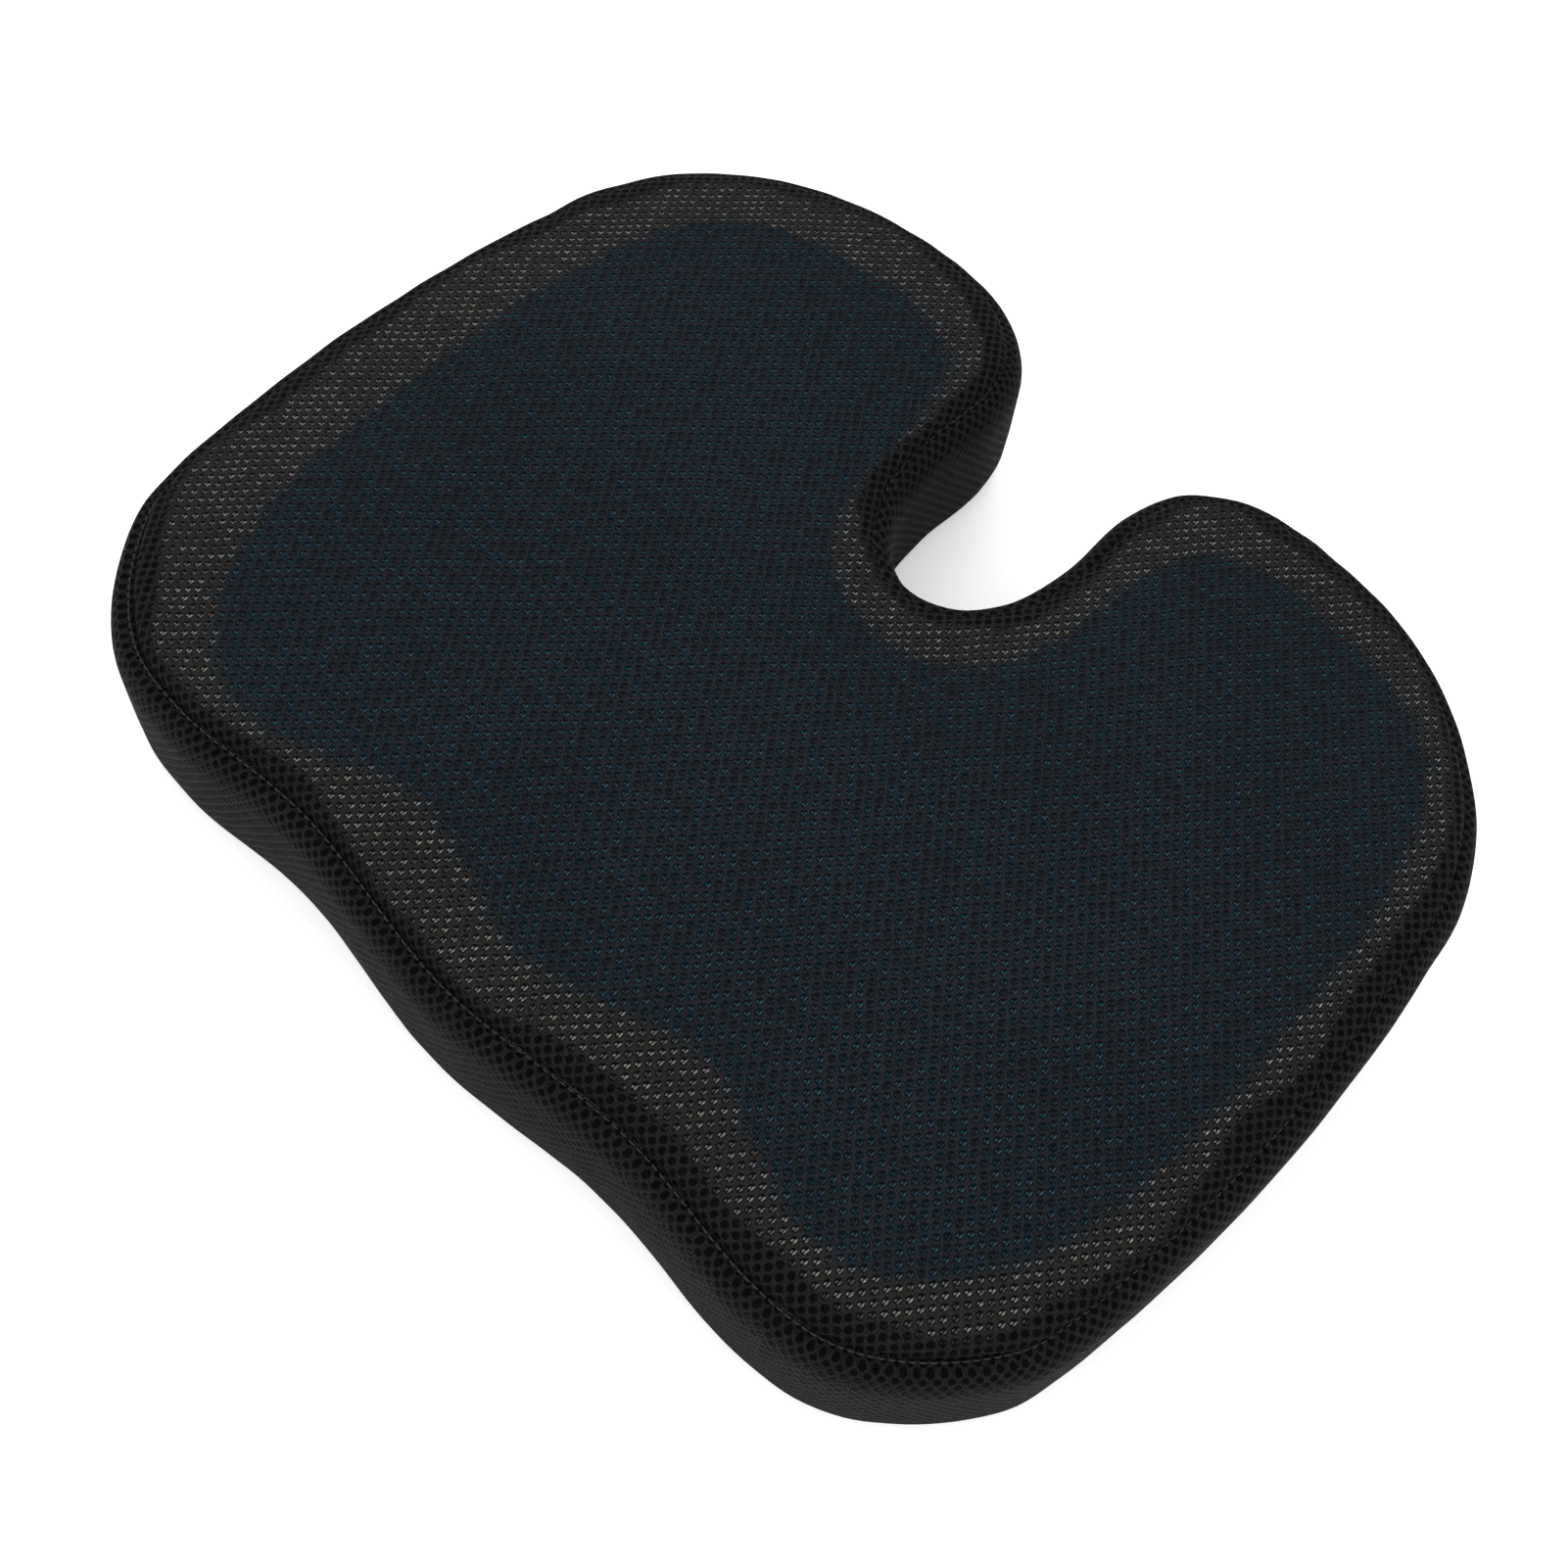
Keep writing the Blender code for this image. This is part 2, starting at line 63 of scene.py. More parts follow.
def addNode(tree, kind, inputs=None, **settings):
    node = tree.nodes.new(kind)
    for name, value in settings.items():
        setattr(node, name, value)
    for name, value in (inputs or {}).items():
        if isinstance(value, bpy.types.NodeSocket):
            tree.links.new(value, node.inputs[name])
        else:
            node.inputs[name].default_value = value
    return node


def newMaterial(name):
    material = bpy.data.materials.new(name)
    material.use_nodes = True
    return material, material.node_tree, material.node_tree.nodes["Principled BSDF"]


def addPiece(name, bm, material, body, nodes, smoothAngle=40):
    mesh = bpy.data.meshes.new(name)
    bm.to_mesh(mesh)
    bm.free()
    mesh.shade_smooth()
    mesh.set_sharp_from_angle(angle=math.radians(smoothAngle))
    piece = bpy.data.objects.new(name, mesh)
    bpy.context.collection.objects.link(piece)
    mesh.materials.append(material)
    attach(piece, body)
    if nodes:
        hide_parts(*nodes)
    return piece


def addPanel(name, bm, material, node, thickness):
    cut = sum(f.calc_area() for f in bm.faces)
    bmesh.ops.solidify(bm, geom=bm.faces[:], thickness=thickness)
    piece = addPiece(name, bm, material, "cushion", [node])


def smoothStep(low, high, value):
    t = min(1.0, max(0.0, (value - low) / (high - low)))
    return t * t * (3 - 2 * t)


def sidePoint(degrees):
    angle = math.radians(degrees)
    radius = cushion["sideRadius"]
    return Vector((cushion["width"] / 2 - radius + radius * math.cos(angle),
                   cushion["sideMiddleY"] + radius * math.sin(angle)))


def ellipsePoints(centre, semiX, semiY, angles):
    return [Vector((centre[0] + semiX * math.cos(math.radians(a)),
                    centre[1] + semiY * math.sin(math.radians(a)))) for a in angles]


def cushionHalf():
    half, back, front = cushion["width"] / 2, cushion["depth"] / 2, -cushion["depth"] / 2
    notch, scallop = cushion["notchWidth"] / 2, cushion["scallop"]
    end = back - cushion["notchDepth"]
    deepest, outer = cushion["scallopAt"]
    points = [Vector((0.0, front)),
              Vector((deepest * cushion["width"], front + scallop)),
              Vector((outer * cushion["width"], front + cushion["scallopEnd"] * scallop))]
    points += [Vector((half - x, front + y)) for x, y in cushion["frontCorner"]]
    points.append(Vector((half - cushion["joinIn"], front + cushion["joinBack"])))
    low, high = cushion["sideArc"]
    points += [sidePoint(low + k * (high - low) / 8) for k in range(9)]
    x, y = cushion["shoulderAt"]
    points += ellipsePoints((half - x, back - y), *cushion["shoulder"], (38, 50, 63, 76, 90))
    mouth = cushion["notchMouth"]
    points += ellipsePoints((notch + mouth[0], back - mouth[1]), *mouth, (92, 120, 150, 180))
    points += ellipsePoints((0.0, end + cushion["notchEnd"]), notch, cushion["notchEnd"],
                            (0, -30, -60, -90))
    return points


# The gel pad, before its small shift and turn.
gelPlan = {
    "side": 0.034, "back": 0.034, "front": 0.031,          # foam left showing round the pad
    "notchEnd": 0.029, "notchRound": 0.052,
    "seenNotch": 0.0165, "padNotch": 0.026,                # beside the notch: the tint, the pad
    "shift": 0.008, "turn": 1.7, "spacing": 0.004,
    "scallop": 0.015, "lobe": 0.004, "scallopAt": (0.141, 0.286),
    "atSide": ((0.029, 0.013), (0.010, 0.045), (0.001, 0.090), (0.0, 0.145)),  # from the front
    "atBack": ((0.003, 0.082), (0.018, 0.030), (0.041, 0.010)),
    "atMouth": ((0.040, 0.0), (0.014, 0.009), (0.003, 0.034)),
}


def gelHalf(notchMargin):
    width = cushion["width"]
    half = width / 2 - gelPlan["side"]
    back = cushion["depth"] / 2 - gelPlan["back"]
    front = -cushion["depth"] / 2 + gelPlan["front"]
    notch = cushion["notchWidth"] / 2 + notchMargin
    end = cushion["depth"] / 2 - cushion["notchDepth"] - gelPlan["notchEnd"]
    deepest, outer = gelPlan["scallopAt"]
    points = [Vector((0.0, front)), Vector((deepest * width, front + gelPlan["scallop"])),
              Vector((outer * width, front - gelPlan["lobe"]))]
    points += [Vector((half - x, front + y)) for x, y in gelPlan["atSide"]]
    points += [Vector((half - x, back - y)) for x, y in gelPlan["atBack"]]
    points += [Vector((notch + x, back - y)) for x, y in gelPlan["atMouth"]]
    points += ellipsePoints((0.0, end + gelPlan["notchRound"]), notch, gelPlan["notchRound"],
                            (0, -32, -62, -90))
    return points


def smoothLoop(half, spacing):
    points = half + [Vector((-p.x, p.y)) for p in reversed(half[1:-1])]
    loop = []
    count = len(points)
    for i in range(count):
        a, b, c, d = (points[(i + k) % count] for k in (-1, 0, 1, 2))
        spanA, spanB, spanC = (math.sqrt((q - p).length) for p, q in ((a, b), (b, c), (c, d)))
        leave = (b - a) / spanA - (c - a) / (spanA + spanB) + (c - b) / spanB
        reach = (c - b) / spanB - (d - b) / (spanB + spanC) + (d - c) / spanC
        steps = max(2, math.ceil((c - b).length / spacing))
        for k in range(steps):
            t = k / steps
            loop.append((2 * t**3 - 3 * t**2 + 1) * b + (t**3 - 2 * t**2 + t) * spanB * leave
                        + (3 * t**2 - 2 * t**3) * c + (t**3 - t**2) * spanB * reach)
    return loop


def normalsOf(loop):
    normals = []
    for i in range(len(loop)):
        along = (loop[(i + 1) % len(loop)] - loop[i - 1]).normalized()
        normals.append(Vector((along.y, -along.x)))
    return normals


def treeOf(loop):
    tree = kdtree.KDTree(len(loop))
    for i, p in enumerate(loop):
        tree.insert((p.x, p.y, 0.0), i)
    tree.balance()
    return tree


def depthInside(tree, loop, normals, x, y):
    i = tree.find((x, y, 0.0))[1]
    return (loop[i] - Vector((x, y))).dot(normals[i])


outline = smoothLoop(cushionHalf(), cushion["spacing"])
outlineNormals = normalsOf(outline)
outlineTree = treeOf(outline)
gelTurn = Matrix.Rotation(math.radians(gelPlan["turn"]), 2)
seenGel = [gelTurn @ p + Vector((gelPlan["shift"], 0.0))
           for p in smoothLoop(gelHalf(gelPlan["seenNotch"]), gelPlan["spacing"])]
seenGelNormals = normalsOf(seenGel)
seenGelTree = treeOf(seenGel)
padGel = [gelTurn @ p + Vector((gelPlan["shift"], 0.0))
          for p in smoothLoop(gelHalf(gelPlan["padNotch"]), gelPlan["spacing"])]
padGelNormals = normalsOf(padGel)

travel = [0.0]                                  # length along the outline up to each point
for k in range(len(outline)):
    travel.append(travel[-1] + (outline[(k + 1) % len(outline)] - outline[k]).length)


def nearestIndex(target):
    return min(range(len(outline)), key=lambda i: (outline[i] - Vector(target)).length)


rightJoin = nearestIndex((cushion["width"] / 2 - cushion["joinIn"],
                          -cushion["depth"] / 2 + cushion["joinBack"]))
leftJoin = nearestIndex((-cushion["width"] / 2 + cushion["joinIn"],
                         -cushion["depth"] / 2 + cushion["joinBack"]))
notchJoin = nearestIndex((0.0, cushion["depth"] / 2 - cushion["notchDepth"]))


coverShape = {
    "thick": 0.0026,
    "seamDepth": 0.0030,      # how far the sewn edges turn in
    "seamWidth": 0.0030,      # half width of the groove along the surface
    "crown": 0.0008,          # how far the top rises in its middle, besides its swelling
    "bulge": 0.0006,          # how far the side walls belly out between their seams
    "ripple": 0.0007,         # slack of the mesh, about 60 mm from crest to crest
    "rippleScale": 17.0,
    "pucker": 0.0006,         # short dimples that the seam draws in
    "puckerScale": 75.0,
    "frontFrom": (-0.150, -0.105),     # the groove is deeper and wider towards the front
    "grooveShare": (0.55, 0.65),       # of seamDepth: everywhere, and besides at the front
    "frontWider": 0.6,
    "panelMiddle": 0.075,              # distance from the seam at which the crown is full
    "floorAbove": 0.0005,
}

zipShape = {"height": 0.027, "start": 10.0, "end": -7.5, "window": 0.0104}


def topArc(degrees, depth=0.0):
    angle = math.radians(degrees)
    radius = cushion["topRound"] - depth
    return (cushion["topRound"] - radius * math.cos(angle),
            cushion["height"] - cushion["topRound"] + radius * math.sin(angle))


def bottomArc(degrees, depth=0.0):
    angle = math.radians(degrees)
    radius = cushion["bottomRound"] - depth
    return (cushion["bottomRound"] - radius * math.cos(angle),
            cushion["bottomRound"] - radius * math.sin(angle))


def wireLoop(bm, places, closed=True):
    verts = [bm.verts.new(p) for p in places]
    return verts, [bm.edges.new((verts[k - 1], verts[k])) for k in range(0 if closed else 1,
                                                                       len(verts))]


def growRows(bm, rows, closed=True):
    # each row of places is grown from the edges of the row before it
    verts, edges = wireLoop(bm, rows[0], closed)
    vertRows, edgeRows = [verts], [edges]
    for row in rows[1:]:
        grown = bmesh.ops.extrude_edge_only(bm, edges=edges)["geom"]
        fresh = {g for g in grown if isinstance(g, bmesh.types.BMVert)}
        edges = [g for g in grown if isinstance(g, bmesh.types.BMEdge)
                 and g.verts[0] in fresh and g.verts[1] in fresh]
        verts = [next(e.other_vert(v) for e in v.link_edges if e.other_vert(v) in fresh)
                 for v in verts]
        for v, place in zip(verts, row):
            v.co = place
        vertRows.append(verts)
        edgeRows.append(edges)
    return vertRows, edgeRows


def insetRing(inset, z):
    return [Vector((*(p - n * inset), z)) for p, n in zip(outline, outlineNormals)]


# The sewn cover is blown up like cloth over its padding, and only that swelling is kept.
padding = {"voxel": 0.0055, "pressure": 4.0, "frames": 20, "cap": 0.0045, "share": 0.8,
           "seamHold": (0.003, 0.011), "baseHold": (0.001, 0.004), "quality": 6, "mass": 0.25}


def swellCover():
    bm = bmesh.new()
    rows = [bottomArc(a) for a in (90, 70, 50, 25, 0)] + [topArc(a) for a in (0, 25, 50, 70, 90)]
    loops = growRows(bm, [insetRing(inset, z) for inset, z in rows])[1]
    for rim in (loops[0], loops[-1]):
        bmesh.ops.contextual_create(bm, geom=rim)
    bmesh.ops.recalc_face_normals(bm, faces=bm.faces)
    mesh = bpy.data.meshes.new("shell")
    bm.to_mesh(mesh)
    bm.free()
    shell = bpy.data.objects.new("shell", mesh)
    bpy.context.collection.objects.link(shell)
    remesh = shell.modifiers.new("remesh", "REMESH")
    remesh.mode = "VOXEL"
    remesh.voxel_size = padding["voxel"]
    shell.data = bpy.data.meshes.new_from_object(
        shell.evaluated_get(bpy.context.evaluated_depsgraph_get()))
    shell.modifiers.clear()
    rest = [v.co.copy() for v in shell.data.vertices]
    sewn = shell.vertex_groups.new(name="sewn")
    seams = [topArc(cushion["seam"]), bottomArc(cushion["seam"])]
    for i, p in enumerate(rest):
        depth = depthInside(outlineTree, outline, outlineNormals, p.x, p.y)
        near = min(math.hypot(depth - inset, p.z - z) for inset, z in seams)
        held = max(1 - smoothStep(*padding["seamHold"], near),
                   1 - smoothStep(*padding["baseHold"], p.z))
        sewn.add([i], held, "REPLACE")
    cloth = shell.modifiers.new("cloth", "CLOTH")
    cloth.settings.quality = padding["quality"]
    cloth.settings.mass = padding["mass"]
    cloth.settings.use_pressure = True
    cloth.settings.uniform_pressure_force = padding["pressure"]
    cloth.settings.effector_weights.gravity = 0.0
    cloth.settings.vertex_group_mass = "sewn"
    cloth.point_cache.frame_end = padding["frames"]
    for step in range(1, padding["frames"] + 1):
        bpy.context.scene.frame_set(step)
    swollen = shell.evaluated_get(bpy.context.evaluated_depsgraph_get()).data
    tree = kdtree.KDTree(len(rest))
    moves = []
    for i, (p, v) in enumerate(zip(rest, swollen.vertices)):
        move = v.co - p
        if move.length > padding["cap"]:
            move.length = padding["cap"]
        moves.append(move * padding["share"])
        tree.insert(p, i)
    tree.balance()
    bpy.context.scene.frame_set(1)
    bpy.data.objects.remove(shell)
    print("swelling: up to", round(max(m.length for m in moves) * 1000, 1), "mm, mean",
          round(sum(m.length for m in moves) / len(moves) * 1000, 2), "mm over", len(moves))
    return tree, moves


def swellAt(place):
    if not swelling:
        return Vector((0, 0, 0))
    total, weight = Vector((0, 0, 0)), 0.0
    for at, i, distance in swelling[0].find_n(place, 8):
        share = 1 / (distance + 0.002)
        total += swelling[1][i] * share
        weight += share
    return total / weight


def grooveDepth(distance, x, y):
    front = 1 - smoothStep(*coverShape["frontFrom"], y)
    wide = coverShape["seamWidth"] * (1 + coverShape["frontWider"] * front)
    fall = 1 - smoothStep(0.0, wide, distance)
    pucker = coverShape["pucker"] * noise.noise(Vector((x, y, 0.3)) * coverShape["puckerScale"])
    near = 1 - smoothStep(0.0, 4 * coverShape["seamWidth"], distance)
    share, more = coverShape["grooveShare"]
    return coverShape["seamDepth"] * (share + more * front) * fall + pucker * near


def slack(x, y, z):
    place = Vector((x, y, z)) * coverShape["rippleScale"]
    return coverShape["ripple"] * noise.fractal(place, 0.8, 2.0, 3)


def layFabric(x, y):
    # the knit was laid a little askew and pulled straighter on the right
    return (x + y * (0.3 * x - 0.045), y + 0.02 * x - 0.15 * x * x, 0.0)


def addLayers(bm):
    return {"fabric": bm.verts.layers.float_vector.new("fabric"),
            "gelDepth": bm.verts.layers.float.new("gelDepth"),
            "seamDistance": bm.verts.layers.float.new("seamDistance")}


swelling = swellCover()


# The top panel: roundings ringed in from the seam, then a flat middle cut to a fine grid.
topPanel = {"angles": (50.6, 53, 57, 62, 68, 75, 82, 90), "flatInset": 0.0215, "grid": 0.0042,
            "gridShift": 0.00013}      # keeps the grid's cuts off the outline's points


def buildTopPanel(material):
    bm = bmesh.new()
    layers = addLayers(bm)
    inside = bm.faces.layers.int.new("inside")
    diagonal = bm.edges.layers.int.new("diagonal")
    radius = cushion["topRound"]
    angles = topPanel["angles"]
    rows = [topArc(angle) for angle in angles] + [(topPanel["flatInset"], cushion["height"])]
    reaches = [radius * (1 - math.radians(90 - angle)) for angle in angles]
    vertRows, loops = growRows(bm, [insetRing(inset, z) for inset, z in rows])
    for verts, reach in zip(vertRows, reaches + [topPanel["flatInset"]]):
        for v, p, n in zip(verts, outline, outlineNormals):
            flat = p - n * reach                # where the knit lies when it is laid out flat
            v[layers["fabric"]] = layFabric(flat.x, flat.y)
    for g in bmesh.ops.triangle_fill(bm, use_beauty=True, edges=loops[-1])["geom"]:
        if isinstance(g, bmesh.types.BMFace):
            g[inside] = 1
        elif isinstance(g, bmesh.types.BMEdge) and not g.is_boundary:
            g[diagonal] = 1
    for e in loops[-1]:
        e[diagonal] = 0
    step = topPanel["grid"]
    for axis, reach in ((0, cushion["width"] / 2), (1, cushion["depth"] / 2)):
        for k in range(-int(reach / step), int(reach / step) + 1):
            faces = [f for f in bm.faces if f[inside]]
            edges = {e for f in faces for e in f.edges}
            verts = {v for f in faces for v in f.verts}
            at = Vector((0, 0, 0))
            at[axis] = k * step + topPanel["gridShift"]
            across = Vector((0, 0, 0))
            across[axis] = 1.0
            bmesh.ops.bisect_plane(bm, geom=[*faces, *edges, *verts], dist=1e-6,
                                   plane_co=at, plane_no=across)
    bmesh.ops.dissolve_edges(bm, edges=[e for e in bm.edges if e[diagonal]], use_verts=True)
    bmesh.ops.dissolve_degenerate(bm, dist=0.00005, edges=bm.edges)
    shapeTop(bm, layers)
    bmesh.ops.recalc_face_normals(bm, faces=bm.faces)
    if sum(f.normal.z for f in bm.faces) < 0:
        bmesh.ops.reverse_faces(bm, faces=bm.faces)
    addPanel("cover_top", bm, material, "cover_top_panel",
             coverShape["thick"])


def shapeTop(bm, layers):
    radius = cushion["topRound"]
    seamInset = topArc(cushion["seam"])[0]
    for v in bm.verts:
        x, y, z = v.co
        depth = depthInside(outlineTree, outline, outlineNormals, x, y)
        if depth > topPanel["flatInset"] - 0.0005:
            v[layers["fabric"]] = layFabric(x, y)
        v[layers["gelDepth"]] = depthInside(seenGelTree, seenGel, seenGelNormals, x, y)
        distance = max(0.0, depth - seamInset)
        v[layers["seamDistance"]] = distance
        i = outlineTree.find((x, y, 0.0))[1]
        lean = min(1.0, max(0.0, (radius - depth) / radius))
        out = Vector((*(outlineNormals[i] * lean), math.sqrt(1 - lean * lean)))
        rise = coverShape["crown"] * smoothStep(0.0, coverShape["panelMiddle"], distance)
        loose = slack(x, y, z) * smoothStep(-0.01, 0.03, distance)
        v.co += swellAt(v.co) + out * (loose - grooveDepth(distance, x, y))
        v.co.z += rise


# A band: its section carried along the outline, the groove of each seam at its two edges.
band = {"topAngles": (49.4, 47, 43, 37, 29, 20, 10, 0), "wallStep": 0.0035,
        "bottomAngles": (0, 12, 24, 34, 42, 46, 49.2),
        "gelDepth": -0.05}             # far outside the gel pad


def bandSection():
    rows = [topArc(a) + ((math.cos(math.radians(a)), math.sin(math.radians(a))),)
            for a in band["topAngles"]]
    high = cushion["height"] - cushion["topRound"]
    low = cushion["bottomRound"]
    marks = [high, zipShape["height"] + zipShape["window"] / 2,
             zipShape["height"] - zipShape["window"] / 2, low]
    for a, b in zip(marks, marks[1:]):
        steps = max(1, round((a - b) / band["wallStep"]))
        rows += [(0.0, a + (b - a) * k / steps, (1.0, 0.0)) for k in range(1, steps + 1)]
    rows += [bottomArc(a) + ((math.cos(math.radians(a)), -math.sin(math.radians(a))),)
             for a in band["bottomAngles"][1:]]
    return rows


def zipAngle(x, y):
    centreX = cushion["sideRadius"] - cushion["width"] / 2
    return math.degrees(math.atan2(y - cushion["sideMiddleY"], centreX - x)) if x < 0 else 90.0


def zipNear(x, y):
    angle = zipAngle(x, y)
    return smoothStep(zipShape["end"] - 8, zipShape["end"] - 0.5, angle) * (
        1 - smoothStep(zipShape["start"] + 0.5, zipShape["start"] + 9, angle))


def buildBand(name, first, last, node, material):
    rows = bandSection()
    along = [0.0]
    for a, b in zip(rows, rows[1:]):
        along.append(along[-1] + math.hypot(b[0] - a[0], b[1] - a[1]))
    count = len(outline)
    bm = bmesh.new()
    layers = addLayers(bm)
    columns = list(range(first, last + 1))
    strip = []
    for r, (inset, z, lean) in enumerate(rows):
        seam = min(along[r], along[-1] - along[r])
        share = along[r] / along[-1]
        line = []
        for c, i in enumerate(columns):
            p, n = outline[i % count], outlineNormals[i % count]
            base = p - n * inset
            calm = 1 - zipNear(p.x, p.y)
            out = Vector((*(n * lean[0]), lean[1]))
            belly = coverShape["bulge"] * math.sin(math.pi * share) * calm
            push = 0.6 * slack(base.x, base.y, z) * calm * smoothStep(0.0, 0.01, z)
            place = Vector((*base, z))
            place += swellAt(place) * calm + out * (
                belly + push - grooveDepth(seam, base.x, base.y))
            place.z = max(place.z, coverShape["floorAbove"])
            u = travel[i % count] - (travel[-1] if i < 0 else 0.0)
            line.append((place, ((u, along[-1] - along[r], 0.0), band["gelDepth"], seam)))
        strip.append(line)
    vertRows = growRows(bm, [[place for place, notes in line] for line in strip], closed=False)[0]
    for verts, line in zip(vertRows, strip):
        for v, (place, notes) in zip(verts, line):
            v[layers["fabric"]], v[layers["gelDepth"]], v[layers["seamDistance"]] = notes
    bmesh.ops.recalc_face_normals(bm, faces=bm.faces)
    middle = outline[columns[len(columns) // 2] % count]
    test = min(bm.faces, key=lambda f: (f.calc_center_median() - Vector((*middle, 0.03))).length)
    if test.normal.dot(Vector((*outlineNormals[columns[len(columns) // 2] % count], 0))) < 0:
        bmesh.ops.reverse_faces(bm, faces=bm.faces)
    if name == "cover_left":
        gone = []
        for f in bm.faces:
            c = f.calc_center_median()
            if abs(c.z - zipShape["height"]) < zipShape["window"] / 2:
                if zipShape["end"] < zipAngle(c.x, c.y) < zipShape["start"]:
                    gone.append(f)
        bmesh.ops.delete(bm, geom=gone, context="FACES")
    addPanel(name, bm, material, node, coverShape["thick"])


bottomPanel = {"angles": (50.8, 55, 62, 70, 80, 90), "thick": 0.0018, "grooveShare": 0.8}


def buildBottom(material):
    bm = bmesh.new()
    layers = addLayers(bm)
    loops = growRows(bm, [insetRing(*bottomArc(angle)) for angle in bottomPanel["angles"]])[1]
    bmesh.ops.contextual_create(bm, geom=loops[-1])
    seamInset = bottomArc(cushion["seam"])[0]
    for v in bm.verts:
        depth = depthInside(outlineTree, outline, outlineNormals, v.co.x, v.co.y)
        groove = grooveDepth(max(0.0, depth - seamInset), v.co.x, v.co.y)
        v.co.z += groove * bottomPanel["grooveShare"]
        v.co.z = max(v.co.z, 0.0)
        v[layers["fabric"]] = (v.co.x, v.co.y, 0.0)
    bmesh.ops.recalc_face_normals(bm, faces=bm.faces)
    if sum(f.normal.z for f in bm.faces) > 0:
        bmesh.ops.reverse_faces(bm, faces=bm.faces)
    addPanel("cover_bottom", bm, material, "cover_bottom_panel",
             bottomPanel["thick"])


foamShape = {
    "skin": 0.0036,           # below the cover's outer surface
    "groove": 0.0034,         # pressed in by the seams
    "grooveWidth": 0.0045,
    "base": 0.0026,
    "channel": 0.0236, "channelDepth": 0.0014,     # room for the zip's tapes
    "channelEdge": 0.0006,
    "recess": 0.0034,         # pocket for the gel pad
    "recessGap": 0.0007,
    "angles": (0, 14, 28, 38, 44, 50, 56, 64, 76, 90),
}


def foamDepth(angle, radius):
    away = math.radians(abs(angle - cushion["seam"])) * radius
    return foamShape["skin"] + foamShape["groove"] * (
        1 - smoothStep(0.0, foamShape["grooveWidth"], away))


def fillBetween(bm, edges):
    return bmesh.ops.triangle_fill(bm, use_beauty=True, edges=edges)["geom"]


def buildFoam(material):
    bm = bmesh.new()
    rows = []
    for angle in reversed(foamShape["angles"]):
        inset, z = bottomArc(angle, foamDepth(angle, cushion["bottomRound"]))
        rows.append((inset, max(z, foamShape["base"])))
    middle, half = zipShape["height"], foamShape["channel"] / 2
    rows += [(foamShape["skin"], middle + side * (half + more))
             for side, more in ((-1, foamShape["channelEdge"]), (-1, 0), (1, 0),
                                (1, foamShape["channelEdge"]))]
    for angle in foamShape["angles"]:
        rows.append(topArc(angle, foamDepth(angle, cushion["topRound"])))
    rings = []
    for inset, z in rows:
        sunk = foamShape["channelDepth"] if abs(z - middle) < half + 1e-6 else 0.0
        rings.append([Vector((*(p - n * (inset + (sunk if zipNear(p.x, p.y) > 0.9 else 0))), z))
                      for p, n in zip(outline, outlineNormals)])
    loops = growRows(bm, rings)[1]
    bmesh.ops.contextual_create(bm, geom=loops[0])
    top = rows[-1][1]
    gap = foamShape["recessGap"]
    rim, sill = growRows(bm, [[Vector((*(p + n * gap), z)) for p, n in zip(padGel, padGelNormals)]
                              for z in (top, top - foamShape["recess"])])[1]
    bmesh.ops.contextual_create(bm, geom=sill)
    fillBetween(bm, loops[-1] + rim)
    bmesh.ops.recalc_face_normals(bm, faces=bm.faces)
    piece = addPiece("foam_core_moulded", bm, material, "cushion", ["foam_core"])


gelPad = {"cell": 0.014, "wall": 0.0011, "pocket": 0.0016, "thick": 0.0030, "round": 0.0007,
          "margin": 0.0086}


def buildGel(material):
    bm = bmesh.new()
    top = cushion["height"] - foamShape["skin"] - 0.0002
    tree = treeOf(padGel)
    size = gelPad["cell"] / math.sqrt(3)
    for row in range(-14, 15):
        for column in range(-18, 19):
            x = (column + 0.5 * (row % 2)) * gelPad["cell"] + gelPlan["shift"]
            y = row * 1.5 * size
            if depthInside(tree, padGel, padGelNormals, x, y) > gelPad["margin"]:
                bmesh.ops.create_circle(bm, cap_ends=True, segments=6, radius=size,
                                        matrix=Matrix.Translation((x, y, top)))
    bmesh.ops.remove_doubles(bm, verts=bm.verts, dist=0.0001)
    border = [e for e in bm.edges if e.is_boundary]
    bmesh.ops.recalc_face_normals(bm, faces=bm.faces)
    if sum(f.normal.z for f in bm.faces) < 0:
        bmesh.ops.reverse_faces(bm, faces=bm.faces)
    cells = bm.faces[:]
    soft = gelPad["round"]
    rings = growRows(bm, [
        [Vector((*(p - n * inset), z)) for p, n in zip(padGel, padGelNormals)]
        for inset, z in ((soft, top), (0.3 * soft, top - 0.3 * soft), (0.0, top - soft),
                         (0.0, top - gelPad["thick"] + soft), (soft, top - gelPad["thick"]))])[1]
    fillBetween(bm, border + rings[0])
    bmesh.ops.contextual_create(bm, geom=rings[-1])
    for depth in (0.0, -gelPad["pocket"]):
        bmesh.ops.inset_individual(bm, faces=cells, thickness=gelPad["wall"] * 0.7, depth=depth)
    bmesh.ops.recalc_face_normals(bm, faces=bm.faces)
    piece = addPiece("gel_pad_honeycomb", bm, material, "cushion", ["gel_pad"], 30)


stitching = {
    "length": 0.0026, "pitch": 0.0034, "thick": 0.0007, "arch": 0.0004,
    # along a stitch: place and rise in its half length and arch, and how much fatter it grows
    "growth": ((-0.6, 1.5, 0.9), (0.0, 1.15, 0.3), (0.6, 0.87, -0.3), (1.0, 0.62, -0.9)),
    "topDepth": 0.0020, "bottomDepth": 0.0018, "besideZip": 0.0021, "pastZip": 0.3,
}


